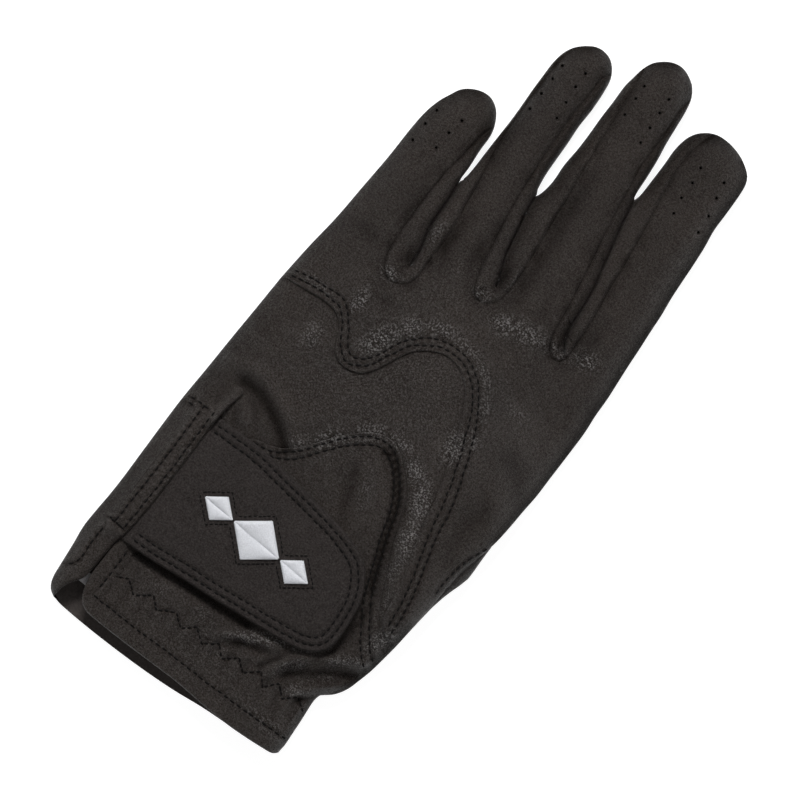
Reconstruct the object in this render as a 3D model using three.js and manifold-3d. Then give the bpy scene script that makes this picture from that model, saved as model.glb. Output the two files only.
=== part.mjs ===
// Left-hand golf glove, lying back up with the thumb folded flat under the palm.
// Millimetres, +Z up, +Y towards the fingertips, +X towards the index finger and thumb.
// The origin is the centre of the glove's footprint, on the surface it lies on.
import * as THREE from 'three';
import { mergeVertices } from 'three/addons/utils/BufferGeometryUtils.js';
import Module from 'manifold-3d';

const wasm = await Module();
wasm.setup();

// ---------------------------------------------------------------- driving dimensions
const LEATHER = 0.8;          // thickness of every leather panel
const GAP = 0.3;              // clearance between neighbouring pieces
const LAYER = LEATHER + GAP;  // pitch of stacked panels
const THUMB_T = 6.2;          // thickness of the folded thumb
const PALM_LIFT = 6.7;        // how far the palm leather rides up over the thumb
const MID_Z = 6.7;            // underside of the middle back panel where the glove lies flat
const MID_LIFT = 5.9;         // extra height of the back over the thumb
const FINGER_BACK_Z = MID_Z + LAYER;              // underside of the finger backs
const FINGER_TOP = FINGER_BACK_Z + LEATHER;       // top of the fingers
const JOINT_GAP = 0.25;       // half the opening at each finger hinge line
const WALL_INSET = 0.08;      // side walls stand this far inside the plates they join
const GRID = 7;               // facet size of the draped panels
const TAPE_T = 0.6;           // hook patch and tab lining
const CENTRE_X = -0.15;       // footprint centre of the outline below
const CENTRE_Y = 0.15;

// ---------------------------------------------------------------- plan outlines
// Each finger: its two sides from below the knuckle up to the tip, as x, y pairs.
const FINGERS = {
  pinky: {
    left: [[-45.3, 15], [-44.3, 29], [-43.6, 42], [-43.2, 55], [-42.7, 60.6]],
    tip: [[-41.6, 65], [-40.3, 68], [-38.8, 71], [-36.5, 73], [-33.5, 74.3], [-31, 74.4], [-28.7, 73.8], [-26.8, 72], [-25.2, 69]],
    right: [[-23.2, 15], [-23.3, 27], [-23.4, 49], [-23.6, 55], [-24, 60.6], [-24.3, 65]],
    seamLeft: null,
    seamRight: [[-28, 20], [-27.9, 30], [-28, 35], [-28.2, 40], [-28, 45], [-27.8, 50], [-27, 56], [-26.4, 62], [-25.9, 65]],
    knuckle: [-33.8, 27], mid: [-33.4, 48], lean: 0,
  },
  ring: {
    left: [[-20.6, 20], [-20.8, 33], [-22, 48], [-22.3, 55], [-22.3, 66], [-22.3, 72], [-22.6, 83.2], [-22.7, 93]],
    tip: [[-22, 97], [-20.5, 100], [-18.5, 102], [-16, 103.7], [-13.5, 104.2], [-10.5, 103.5], [-8.3, 101.5], [-6.9, 99]],
    right: [[-1.2, 24], [-1.7, 33], [-2.9, 48], [-3.9, 60], [-5, 66.3], [-5.4, 74], [-5.9, 83], [-5.9, 89], [-6.3, 95]],
    seamLeft: [[-16, 20], [-16.2, 30], [-16.6, 37], [-17.2, 42], [-17.8, 46], [-18.5, 52], [-19.5, 57], [-20.4, 62], [-21, 66], [-21, 72], [-21.2, 83], [-21.3, 93]],
    seamRight: [[-4.6, 24], [-4.9, 33], [-5.6, 44], [-6.5, 50], [-7.2, 55], [-7.8, 60], [-8.2, 65], [-8.7, 70], [-9.2, 80], [-9.3, 87], [-8.6, 95]],
    knuckle: [-11.2, 33], mid: [-13.7, 66], lean: 4.4,
  },
  middle: {
    left: [[0.5, 24], [-0.4, 34], [-1.9, 50], [-2.6, 60], [-2.3, 72], [-2.4, 88.8], [-2.5, 97], [-2.2, 103]],
    tip: [[-1.5, 107], [-0.2, 110], [1.8, 112], [4.2, 113.5], [7, 114.05], [9.7, 113.3], [12.5, 111.5], [14.3, 109]],
    right: [[27.6, 24], [26.5, 34], [25.3, 45], [24.4, 50], [22, 60], [20.8, 65], [19.6, 70], [18.9, 74], [18.4, 80], [17.5, 88.8], [16.5, 95], [15.9, 100], [15.3, 105]],
    seamLeft: [[6.6, 24], [6.6, 36], [6, 45], [5.5, 50], [4.3, 60], [3.8, 65], [3, 70], [2.5, 75], [1.8, 80], [0.8, 90], [-0.2, 98], [-0.6, 103]],
    seamRight: [[24, 24], [23.3, 36], [22, 44], [21, 50], [20, 55], [19, 60], [18, 65], [17, 70], [16.2, 76], [15.5, 80], [14.8, 88], [14.5, 95], [14.2, 100], [13.6, 105]],
    knuckle: [13.2, 34], mid: [8.4, 72], lean: 6,
  },
  index: {
    left: [[28.4, 24], [27.6, 34], [26.6, 44], [25.6, 50], [24.3, 55], [23.1, 60], [21.9, 65], [20.8, 70], [20, 75], [19.7, 83], [19.6, 92]],
    tip: [[20, 98], [20.7, 100], [22, 102], [24.5, 104], [27, 105], [31, 105], [35, 104.2], [37.5, 103], [40.2, 101], [41.3, 99]],
    right: [[47.5, 21], [46.7, 34], [45.9, 43.7], [45, 55], [44, 66], [43, 77.5], [42.1, 88.8], [41.8, 96]],
    seamLeft: [[31, 24], [30.8, 35], [30, 44], [29, 50], [28.2, 58], [27.5, 63], [26.8, 68], [26, 74], [24.6, 82], [23.6, 88], [23.4, 92]],
    seamRight: null,
    knuckle: [37, 34], mid: [33.2, 66], lean: 5.7,
  },
};

// Outer sides of the hand, from the cuff to the finger roots.
const HAND_LEFT = [[-46.5, -106], [-47.4, -98], [-48.4, -91.5], [-48.1, -85.8], [-47.8, -75], [-47.9, -60], [-48.1, -46.4], [-47.7, -32], [-47.1, -18], [-46.6, 0], [-45.3, 15]];
const HAND_RIGHT = [[34.3, -106], [34, -100], [33.6, -94], [33.5, -91], [33.9, -88.5], [36.5, -86.5], [39.2, -82], [40.5, -76], [41.9, -68.9], [42.3, -62], [42.3, -54], [42.5, -44], [43, -36], [44.3, -31], [45.7, -27.5], [46.8, -24], [47.7, -12.6], [48.1, -4], [48.1, 10], [47.5, 21]];
const PALM_CUFF = [[34.3, -108.5], [33, -110], [30, -110.6], [20, -111.4], [10, -112], [0, -113], [-10, -113.6], [-20, -113.75], [-30, -113.6], [-37, -113.2], [-42, -112], [-45.4, -110]];

// Wavy cut edge of the knuckle panel, pinky side to thumb side.
const WAVE_1 = [[-43, -0.8], [-38, -0.3], [-33, 0.3], [-29.5, 0], [-27, -1], [-25, -3], [-23, -7], [-21, -9.8], [-18, -11], [-15, -10.8], [-12, -9.5], [-10, -7], [-8, -3], [-5.5, 2.5], [-3, 5.5], [0, 7.5], [3, 8.8], [6, 8.9], [9, 8.2], [12, 6.3], [15, 3], [17, -1], [19, -4], [21.3, -9], [23.5, -15], [25.5, -20.5], [27.5, -26], [28.8, -31], [29.8, -35], [31, -40], [32.5, -45], [34, -50], [34.7, -54], [35.2, -58], [35.5, -62.5]];
// The same edge as the middle panel passes under it.
const TUCK_1 = [[-31, 5.5], [-25, 3], [-20, -4.5], [-16.5, -5.5], [-13, -2], [-9, 6], [-2, 12], [5, 14], [12, 12], [18, 8], [23, 0], [27, -10], [31, -22], [34, -35], [38, -48], [40, -62]];
// Wavy cut edge of the wrist panel, slit to thumb side.
const WAVE_2 = [[-36.2, -50], [-30, -46], [-24, -42], [-21, -41.7], [-18.5, -40.7], [-16.5, -39.7], [-15, -38.2], [-13.5, -37], [-12.3, -35.7], [-11, -34], [-9.5, -31.7], [-8, -29.7], [-6.5, -27.7], [-4.8, -25.7], [-2.8, -23.7], [-0.8, -21.9], [1.3, -20.5], [3, -19.8], [7, -19.4], [10, -20.5], [12.5, -23], [15, -26], [18, -28], [20, -31], [22, -37], [24, -42], [26, -46], [28.5, -51], [30.5, -56], [33, -60], [37, -64.5]];
const TUCK_2 = [[38, -73], [29, -64], [23.5, -54], [19, -44], [15.5, -34], [11, -28], [6, -25], [2, -25], [-3, -29], [-8, -36], [-13, -42], [-20, -47], [-36, -49]];
const WRIST_EDGE = [[33, -109.4], [20, -110.4], [10, -110.3], [0, -109.7], [-20, -109.9], [-30, -109.7], [-33.5, -109.2], [-35.3, -108.2], [-36.5, -106.3], [-37.2, -104], [-37.5, -101], [-37.5, -88], [-36.6, -80]];
const FACING = [[-47.7, -36], [-46, -35], [-39, -34.6], [-36.3, -34.4], [-35.6, -35.4], [-36.2, -37.5], [-36.9, -42], [-36.9, -60], [-37.3, -80], [-38.2, -88], [-38.8, -92], [-39.2, -100], [-40.5, -104], [-43, -107.6], [-46, -107]];
const TAB = [[-36.1, -44], [-20, -43.6], [-10, -44.8], [0, -46], [10, -47.5], [15, -48.8], [18, -49.8], [20, -50.8], [22, -52.5], [24, -55], [26, -58.5], [27.2, -62], [27.8, -66], [28.2, -70], [28.1, -74], [27.4, -76.5], [25.5, -79], [23, -80.5], [20, -81.8], [10, -83.2], [0, -84.3], [-10, -85.3], [-20, -86.2], [-30, -87.2], [-37.4, -87.4], [-36.5, -70]];
const THUMB = {
  outer: [[46.7, -31], [45.6, -26.5], [40.8, -14], [33.6, 0], [29.6, 6]],
  tip: [[26, 9.8], [21.6, 12], [17, 11.8], [13, 10], [10, 7.2]],
  inner: [[8.6, 3.4], [9.4, -4], [15, -17], [24, -35], [33, -52], [42.8, -60.2]],
};
const THUMB_OUTLINE = [...THUMB.outer, ...THUMB.tip, ...THUMB.inner];

// ---------------------------------------------------------------- solid helpers
function solidOf(geometry) {
  const g = geometry.clone();
  g.deleteAttribute('normal');
  g.deleteAttribute('uv');
  const m = mergeVertices(g, 1e-4);
  return new wasm.Manifold(new wasm.Mesh({
    numProp: 3,
    vertProperties: new Float32Array(m.attributes.position.array),
    triVerts: new Uint32Array(m.index.array),
  }));
}

function geometryOf(solid) {
  const mesh = solid.getMesh();
  const g = new THREE.BufferGeometry();
  g.setAttribute('position', new THREE.BufferAttribute(new Float32Array(mesh.vertProperties), 3));
  g.setIndex(new THREE.BufferAttribute(new Uint32Array(mesh.triVerts), 1));
  g.computeVertexNormals();
  return g;
}

// An upright prism over a plan outline.
function prism(points, z0, z1) {
  const shape = new THREE.Shape(points.map(([x, y]) => new THREE.Vector2(x, y)));
  const g = new THREE.ExtrudeGeometry(shape, { depth: z1 - z0, bevelEnabled: false });
  g.translate(0, 0, z0);
  return solidOf(g);
}

// A closed box-topology grid: nu by nv points below and above.
function gridSolid(nu, nv, low, high) {
  const pos = [];
  for (const f of [low, high]) {
    for (let j = 0; j < nv; j++) for (let i = 0; i < nu; i++) pos.push(...f(i, j));
  }
  const id = (k, i, j) => k * nu * nv + j * nu + i;
  const idx = [];
  for (let j = 0; j < nv - 1; j++) {
    for (let i = 0; i < nu - 1; i++) {
      const [a, b, c, d] = [id(1, i, j), id(1, i + 1, j), id(1, i + 1, j + 1), id(1, i, j + 1)];
      idx.push(a, b, c, a, c, d);
      const [e, f, g, h] = [id(0, i, j), id(0, i + 1, j), id(0, i + 1, j + 1), id(0, i, j + 1)];
      idx.push(e, g, f, e, h, g);
    }
  }
  const side = (a0, b0, a1, b1) => idx.push(a0, b0, b1, a0, b1, a1);
  for (let i = 0; i < nu - 1; i++) {
    side(id(0, i, 0), id(0, i + 1, 0), id(1, i, 0), id(1, i + 1, 0));
    side(id(0, i + 1, nv - 1), id(0, i, nv - 1), id(1, i + 1, nv - 1), id(1, i, nv - 1));
  }
  for (let j = 0; j < nv - 1; j++) {
    side(id(0, 0, j + 1), id(0, 0, j), id(1, 0, j + 1), id(1, 0, j));
    side(id(0, nu - 1, j), id(0, nu - 1, j + 1), id(1, nu - 1, j), id(1, nu - 1, j + 1));
  }
  const g = new THREE.BufferGeometry();
  g.setAttribute('position', new THREE.BufferAttribute(new Float32Array(pos), 3));
  g.setIndex(idx);
  return solidOf(g);
}

// A draped sheet over a plan outline, between two height functions. Every sheet uses the
// same grid, so stacked sheets have parallel facets.
function sheet(outline, zLow, zHigh) {
  const xs = outline.map((p) => p[0]);
  const ys = outline.map((p) => p[1]);
  const i0 = Math.floor((Math.min(...xs) - 0.5) / GRID);
  const i1 = Math.ceil((Math.max(...xs) + 0.5) / GRID);
  const j0 = Math.floor((Math.min(...ys) - 0.5) / GRID);
  const j1 = Math.ceil((Math.max(...ys) + 0.5) / GRID);
  const at = (i, j) => [(i0 + i) * GRID, (j0 + j) * GRID];
  const slab = gridSolid(i1 - i0 + 1, j1 - j0 + 1,
    (i, j) => { const [x, y] = at(i, j); return [x, y, zLow(x, y)]; },
    (i, j) => { const [x, y] = at(i, j); return [x, y, zHigh(x, y)]; });
  return slab.intersect(prism(outline, -10, 40));
}

// Points of a polyline moved sideways: positive d moves to the left of its direction.
function offset(line, d) {
  return line.map((p, i) => {
    const a = line[Math.max(0, i - 1)];
    const b = line[Math.min(line.length - 1, i + 1)];
    const dx = b[0] - a[0];
    const dy = b[1] - a[1];
    const l = Math.hypot(dx, dy);
    return [p[0] - (dy / l) * d, p[1] + (dx / l) * d];
  });
}

// A standing wall one leather thick, to the left (side = 1) or right (-1) of a line.
function wall(line, side, zLow, zHigh) {
  const outer = offset(line, side * WALL_INSET);
  const inner = offset(line, side * (WALL_INSET + LEATHER));
  const right = side > 0 ? outer : inner;
  const left = side > 0 ? inner : outer;
  const at = (i, j) => (j ? left[i] : right[i]);
  const low = typeof zLow === 'function' ? zLow : () => zLow;
  const high = typeof zHigh === 'function' ? zHigh : () => zHigh;
  return gridSolid(line.length, 2,
    (i, j) => [...at(i, j), low(...line[i])],
    (i, j) => [...at(i, j), high(...line[i])]);
}

function dense(line, step) {
  const out = [line[0]];
  for (let i = 1; i < line.length; i++) {
    const [a, b] = [line[i - 1], line[i]];
    const n = Math.max(1, Math.round(Math.hypot(b[0] - a[0], b[1] - a[1]) / step));
    for (let k = 1; k <= n; k++) out.push([a[0] + ((b[0] - a[0]) * k) / n, a[1] + ((b[1] - a[1]) * k) / n]);
  }
  return out;
}

// ---------------------------------------------------------------- heights of the hand
function distanceToOutline(x, y, outline) {
  let best = 1e9;
  let inside = false;
  for (let i = 0, j = outline.length - 1; i < outline.length; j = i++) {
    const [ax, ay] = outline[j];
    const [bx, by] = outline[i];
    const t = Math.min(1, Math.max(0, ((x - ax) * (bx - ax) + (y - ay) * (by - ay)) / ((bx - ax) ** 2 + (by - ay) ** 2)));
    best = Math.min(best, Math.hypot(x - ax - t * (bx - ax), y - ay - t * (by - ay)));
    if ((ay > y) !== (by > y) && x < ((bx - ax) * (y - ay)) / (by - ay) + ax) inside = !inside;
  }
  return inside ? -best : best;
}
const smooth = (t) => { const c = Math.min(1, Math.max(0, t)); return c * c * (3 - 2 * c); };
// 1 over the folded thumb, falling to 0 around it.
const lift = (x, y) => (1 - smooth((distanceToOutline(x, y, THUMB_OUTLINE) - 5.5) / 14)) * (1 - smooth((y - 13.5) / 8.5));
const palmLow = (x, y) => PALM_LIFT * lift(x, y);
const palmHigh = (x, y) => palmLow(x, y) + LEATHER;
const midLow = (x, y) => MID_Z + MID_LIFT * lift(x, y);
const above = (layers, extra = 0) => (x, y) => midLow(x, y) + layers * LAYER + extra;

// ---------------------------------------------------------------- finger hinge lines
// The region of a finger beyond its hinge line, moved by d along the finger.
function beyond(name, which, d, reach = [-20, 20]) {
  const f = FINGERS[name];
  const a = THREE.MathUtils.degToRad(f.lean);
  const [dx, dy] = [-Math.sin(a), Math.cos(a)];
  const [cx, cy] = [f[which][0] + dx * d, f[which][1] + dy * d];
  const [l, r] = reach;
  return prism([
    [cx + dy * l, cy - dx * l], [cx + dy * r, cy - dx * r],
    [cx + dy * r + dx * 120, cy - dx * r + dy * 120], [cx + dy * l + dx * 120, cy - dx * l + dy * 120],
  ], -20, 60);
}
const NAMES = ['pinky', 'ring', 'middle', 'index'];
const ROOT_REACH = { pinky: [-14, 11.1], ring: [-10.5, 10.1], middle: [-14.1, 13.9], index: [-9.9, 14] };
const handOnly = (solid) => NAMES.reduce((s, n) => s.subtract(beyond(n, 'knuckle', -JOINT_GAP, ROOT_REACH[n])), solid);

// ---------------------------------------------------------------- scene graph
const group = new THREE.Group();
const leather = (tint = 1) => ({ color: new THREE.Color(0.033 * tint, 0.027 * tint, 0.023 * tint), roughness: 0.55, metalness: 0 });
function add(name, solid, material = leather()) {
  const mesh = new THREE.Mesh(geometryOf(solid), new THREE.MeshStandardMaterial(material));
  mesh.name = name;
  mesh.position.set(-CENTRE_X, -CENTRE_Y, 0);
  group.add(mesh);
}

// ---------------------------------------------------------------- palm and back panels
const slotPR = [[-23.2, 45], [-23.2, 22], [-20.7, 22], [-20.9, 33], [-21.8, 45]];
const slotRM = [[-2.7, 45], [-1.7, 33], [-1.5, 28], [0.1, 28], [-0.4, 34], [-1.5, 45]];
const slotMI = [[25.3, 45], [26.5, 34], [26.9, 29.5], [28.1, 29.5], [27.6, 34], [26.6, 45]];
const slots = [prism(slotPR, -10, 40), prism(slotRM, -10, 40), prism(slotMI, -10, 40)];
const FINGER_ROOTS = [[-44.3, 29], [-43.6, 39.5], [46.2, 39.5]];

const palmOutline = [...PALM_CUFF.slice().reverse(), ...HAND_RIGHT, ...FINGER_ROOTS.slice().reverse(), ...HAND_LEFT.slice().reverse()];
const slope = (x, y) => 4 * lift(x, y) * (1 - lift(x, y));
const wallTop = (x, y) => midLow(x, y) - GAP - 0.9 * slope(x, y);
const wallFoot = (x, y) => palmLow(x, y) + 0.4;
const leftWall = wall(dense([...HAND_LEFT, [-44.3, 29], [-43.6, 39]], 8), -1, wallFoot, (x, y) => (y > 14 ? midLow(x, y) + LAYER - GAP - slope(x, y) : wallTop(x, y)));
const cuffWallRight = wall(dense(HAND_RIGHT.slice(0, 10), 7), 1, wallFoot, wallTop);
const indexWall = wall(dense([...HAND_RIGHT.slice(14), [46.7, 34], [46.2, 39]], 7), 1, wallFoot, wallTop);
let palm = sheet(palmOutline, palmLow, palmHigh);
for (const w of [leftWall, cuffWallRight, indexWall]) palm = palm.add(w);
for (const s of slots) palm = palm.subtract(s);
add('palm_panel', handOnly(palm));

const knuckleOutline = [[-46.7, -1.4], ...WAVE_1, [42.2, -63], ...HAND_RIGHT.slice(9), ...FINGER_ROOTS.slice().reverse(), [-45.3, 15]];
// The backs of the fingers stop at their seams, where the fourchettes begin.
const pitPR = [[-27.9, 41], [-27.9, 30], [-27.5, 25], [-26.8, 21], [-25.5, 18.5], [-23.5, 16.3], [-22, 16], [-20, 16.5], [-17.5, 18], [-16.2, 21], [-16.2, 30], [-17, 41]];
const pitRM = [[-5.3, 41], [-4.9, 33], [-4.4, 29], [-2.4, 27.2], [0.6, 26.6], [4, 27.2], [6.3, 30], [6.6, 34], [6.2, 41]];
const pitMI = [[22.7, 41], [23.4, 35], [24.4, 29.8], [26, 27.2], [28.5, 26.3], [30.3, 27.3], [31, 30], [30.9, 34], [30.4, 41]];
let knuckle = sheet(knuckleOutline, above(1), above(1, LEATHER));
for (const p of [pitPR, pitRM, pitMI]) knuckle = knuckle.subtract(prism(p, -10, 40));
add('knuckle_panel', handOnly(knuckle));

const midOutline = [[-47.7, -47], [-47.5, -32], [-46.9, -18], [-46.4, 0], [-46.1, 4.5], ...TUCK_1, [42.2, -66], [41.6, -70], ...TUCK_2];
add('middle_back_panel', sheet(midOutline.slice().reverse(), above(0), above(0, LEATHER)));

const wristOutline = [...WAVE_2, [41.5, -70], [40.5, -76], [39.2, -82], [36.5, -86.5], [33.9, -88.5], [33.5, -91], [33.6, -94], [34.1, -103], [34, -106], ...WRIST_EDGE];
add('wrist_panel', sheet(wristOutline.slice().reverse(), above(1), above(1, LEATHER)));

// The doubled facing of the slit rises to its free edge, where the tab's root is sewn in.
const facingRise = (x, y) => 3.2 * smooth((x + 46) / 7) * smooth((-40 - y) / 6) * smooth((y + 94) / 6);
const facingLow = (x, y) => midLow(x, y) + LAYER + facingRise(x, y);
add('slit_facing', sheet(FACING.slice().reverse(), facingLow, (x, y) => facingLow(x, y) + LEATHER), leather(1.05));

// ---------------------------------------------------------------- cuff pieces
const elastic = [[-33, -92], [-33, -99.5], [32, -99], [32, -91.5]];
add('wrist_elastic', sheet(elastic, above(0, -0.05), above(0, 0.65)), { color: new THREE.Color(0.02, 0.02, 0.02), roughness: 0.9, metalness: 0 });
add('inner_label', prism([[-44.5, -108], [-31, -108], [-31, -94], [-44.5, -94]], LEATHER + GAP, LEATHER + GAP + 0.4), { color: new THREE.Color(0.8, 0.8, 0.8), roughness: 0.8, metalness: 0 });

// ---------------------------------------------------------------- closure
const loopPatch = [[-24, -53], [-22, -51.5], [16, -54.5], [20.5, -58], [23, -66], [23, -73], [20, -76.5], [-22, -80.5], [-24, -79]];
add('loop_patch', sheet(loopPatch.slice().reverse(), above(2), above(2, LEATHER)), { color: new THREE.Color(0.015, 0.015, 0.016), roughness: 1, metalness: 0 });
const hookPatch = [[-4, -52.6], [-2, -50.6], [14, -53.2], [19, -57], [22.4, -63], [23.4, -70], [22.4, -75.4], [18, -77.4], [-2, -79.6], [-4, -77.6]];
add('hook_patch', sheet(hookPatch.slice().reverse(), above(3), above(3, TAPE_T)), { color: new THREE.Color(0.02, 0.02, 0.021), roughness: 0.7, metalness: 0 });
const liningOutline = TAB.map(([x, y]) => [x < -30 ? x : -5 + (x + 5) * 0.965, -66 + (y + 66) * 0.955]);
add('tab_lining', sheet(liningOutline.slice().reverse(), above(3, TAPE_T + GAP), above(3, 2 * TAPE_T + GAP)), { color: new THREE.Color(0.02, 0.019, 0.018), roughness: 0.9, metalness: 0 });
const tabLow = above(3, 2 * (TAPE_T + GAP));
add('tab_outer', sheet(TAB.slice().reverse(), tabLow, (x, y) => tabLow(x, y) + LEATHER), { color: new THREE.Color(0.03, 0.027, 0.026), roughness: 0.6, metalness: 0 });
// Raised embroidery: three plain lozenges in a row.
const C = [-7, -64.6];
const turn = ([u, v]) => { const a = -0.05; return [C[0] + u * Math.cos(a) - v * Math.sin(a), C[1] + u * Math.sin(a) + v * Math.cos(a)]; };
const motif = [[-19, 0], [-13.4, -4.4], [-8.6, -0.8], [0, -7.4], [8.6, -0.8], [13.4, -4.4], [19, 0], [13.4, 4.4], [8.6, 0.8], [0, 7.4], [-8.6, 0.8], [-13.4, 4.4]].map(turn);
add('tab_motif', sheet(motif, (x, y) => tabLow(x, y) + LEATHER + 0.35, (x, y) => tabLow(x, y) + LEATHER + 0.9), { color: new THREE.Color(0.78, 0.79, 0.82), roughness: 0.45, metalness: 0 });

// ---------------------------------------------------------------- thumb, folded under the palm
let thumbFront = prism(THUMB_OUTLINE, 0, LEATHER);
const thumbRim = dense(THUMB_OUTLINE, 14);
thumbFront = thumbFront.add(wall(thumbRim, 1, 0.4, THUMB_T - LAYER));
add('thumb_front', thumbFront);
add('thumb_back', prism(THUMB_OUTLINE, THUMB_T - LEATHER, THUMB_T));

// ---------------------------------------------------------------- fingers
for (const name of NAMES) {
  const f = FINGERS[name];
  const rim = [...f.left, ...f.tip, ...f.right.slice().reverse()];
  let front = prism(rim, 0, LEATHER);
  const tipLine = [f.left[f.left.length - 1], ...f.tip, f.right[f.right.length - 1]];
  const frontWall = f.seamLeft && f.seamRight ? tipLine
    : f.seamLeft ? [...tipLine, ...f.right.slice(0, -1).reverse()] : [...f.left.slice(0, -1), ...tipLine];
  front = front.add(wall(frontWall, -1, 0.4, FINGER_BACK_Z - GAP));

  const backLeft = f.seamLeft ? f.seamLeft.map(([x, y]) => [x + 0.15, y]) : f.left;
  const backRight = f.seamRight ? f.seamRight.map(([x, y]) => [x - 0.15, y]) : f.right;
  const back = prism([...backLeft, ...f.tip, ...backRight.slice().reverse()], FINGER_BACK_Z, FINGER_TOP);

  const pieces = { front, back };
  if (f.seamLeft) {
    const side = f.left;
    let p = prism([...side, ...f.seamLeft.map(([x, y]) => [x - 0.15, y]).reverse()], FINGER_BACK_Z, FINGER_TOP);
    p = p.add(wall(side, -1, LEATHER + GAP, FINGER_TOP));
    pieces.fourchette_pinky_side = p;
  }
  if (f.seamRight) {
    const side = f.right;
    let p = prism([...side, ...f.seamRight.map(([x, y]) => [x + 0.15, y]).reverse()], FINGER_BACK_Z, FINGER_TOP);
    p = p.add(wall(side, 1, LEATHER + GAP, FINGER_TOP));
    pieces.fourchette_thumb_side = p;
  }
  // The fourchettes end just short of the tip's own wall.
  const clear = wall(tipLine, -1, -1, 20);
  for (const [piece, solid] of Object.entries(pieces)) {
    let s = solid;
    if (piece.startsWith('fourchette')) {
      const end = piece.endsWith('pinky_side') ? f.left[f.left.length - 1] : f.right[f.right.length - 1];
      s = s.subtract(prism([[-80, end[1] - GAP], [80, end[1] - GAP], [80, 140], [-80, 140]], -5, 30)).subtract(clear);
    }
    const outward = s.intersect(beyond(name, 'knuckle', JOINT_GAP));
    add(`${name}_${piece}_base`, outward.subtract(beyond(name, 'mid', -JOINT_GAP)));
    add(`${name}_${piece}_tip`, outward.intersect(beyond(name, 'mid', JOINT_GAP)));
  }
}

// ---------------------------------------------------------------- finger crotches
// Each fourchette turns round at the bottom of its gap: a U-shaped wall with a flange up to the seams.
function crotch(name, uOuter, slot, pit) {
  let s = prism(uOuter, LEATHER + GAP, FINGER_TOP).subtract(prism(slot, -10, 40));
  const inset = pit.map(([x, y]) => {
    const cx = (pit[0][0] + pit[pit.length - 1][0]) / 2;
    return [x + Math.sign(cx - x) * 0.3, y + (y < 40 ? 0.3 : 0)];
  });
  s = s.add(prism(inset, FINGER_BACK_Z, FINGER_TOP).subtract(prism(slot, -10, 40)));
  add(name, handOnly(s));
}
crotch('fourchette_crotch_pinky_ring', [[-24, 40], [-24, 21.2], [-19.9, 21.2], [-20.1, 33], [-20.6, 40]], slotPR, pitPR);
crotch('fourchette_crotch_ring_middle', [[-3.1, 40], [-2.5, 33], [-2.3, 27.2], [0.9, 27.2], [0.4, 34], [-0.2, 40]], slotRM, pitRM);
crotch('fourchette_crotch_middle_index', [[25, 40], [25.7, 34], [26.1, 28.7], [28.9, 28.7], [28.4, 34], [27.8, 40]], slotMI, pitMI);

export default group;
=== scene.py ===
import math

import bpy
import numpy as np
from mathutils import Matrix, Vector
from mathutils.geometry import delaunay_2d_cdt

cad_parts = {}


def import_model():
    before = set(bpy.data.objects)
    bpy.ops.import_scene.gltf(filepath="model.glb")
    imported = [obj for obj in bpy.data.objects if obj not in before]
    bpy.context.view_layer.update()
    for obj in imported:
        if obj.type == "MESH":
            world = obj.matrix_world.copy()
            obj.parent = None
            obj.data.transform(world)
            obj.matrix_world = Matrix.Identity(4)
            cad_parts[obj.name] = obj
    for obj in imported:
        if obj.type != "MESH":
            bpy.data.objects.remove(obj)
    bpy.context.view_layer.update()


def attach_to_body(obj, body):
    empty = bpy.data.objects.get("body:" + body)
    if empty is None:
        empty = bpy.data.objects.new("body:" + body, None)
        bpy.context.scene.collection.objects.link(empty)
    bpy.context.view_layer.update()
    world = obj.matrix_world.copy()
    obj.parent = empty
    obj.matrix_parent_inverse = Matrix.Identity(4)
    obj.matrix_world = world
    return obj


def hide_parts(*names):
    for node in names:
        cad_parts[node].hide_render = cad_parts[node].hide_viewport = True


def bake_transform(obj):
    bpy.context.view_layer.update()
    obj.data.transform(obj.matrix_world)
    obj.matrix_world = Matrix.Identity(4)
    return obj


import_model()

MM = 0.001
SHIFT = np.array([0.15, -0.15])      # plan millimetres to the frame's origin
STEP = 1.1         # point spacing along edges, mm
CELL = 1.25        # point spacing inside panels, mm
FLEX = ("pinky", "ring", "middle", "index")

# ------------------------------------------------------------------ plan curves, in mm
LEFT_LOW = [(-42.9, -112.3), (-44.5, -111.4), (-45.6, -110), (-46.35, -107.8), (-46.7, -105), (-47.0, -102.0), (-47.5, -97.1), (-48.2, -91.5), (-48.1, -85.8), (-47.8, -80.2),
            (-47.7, -74.6), (-47.9, -63), (-48.1, -46.4), (-47.7, -35), (-47.4, -24), (-47, -12.6), (-46.7, -1.9)]
LEFT_UP = [(-46.7, -1.9), (-45.8, 9.9), (-44.6, 21.2), (-44.0, 32.5), (-43.4, 43.7), (-43.2, 55), (-42.7, 60.6), (-41.6, 65),
           (-40.3, 68), (-38.8, 71), (-36.5, 73), (-33.5, 74.3), (-31, 74.45), (-29, 73.8), (-26.8, 72), (-25, 69), (-24.1, 66),
           (-23.9, 60.6), (-23.4, 55), (-23.3, 49.4), (-23.05, 48), (-22.65, 44), (-22.45, 40), (-22.15, 35), (-21.15, 31),
           (-20.35, 28), (-20.15, 25), (-19.85, 23.2)]
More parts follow.
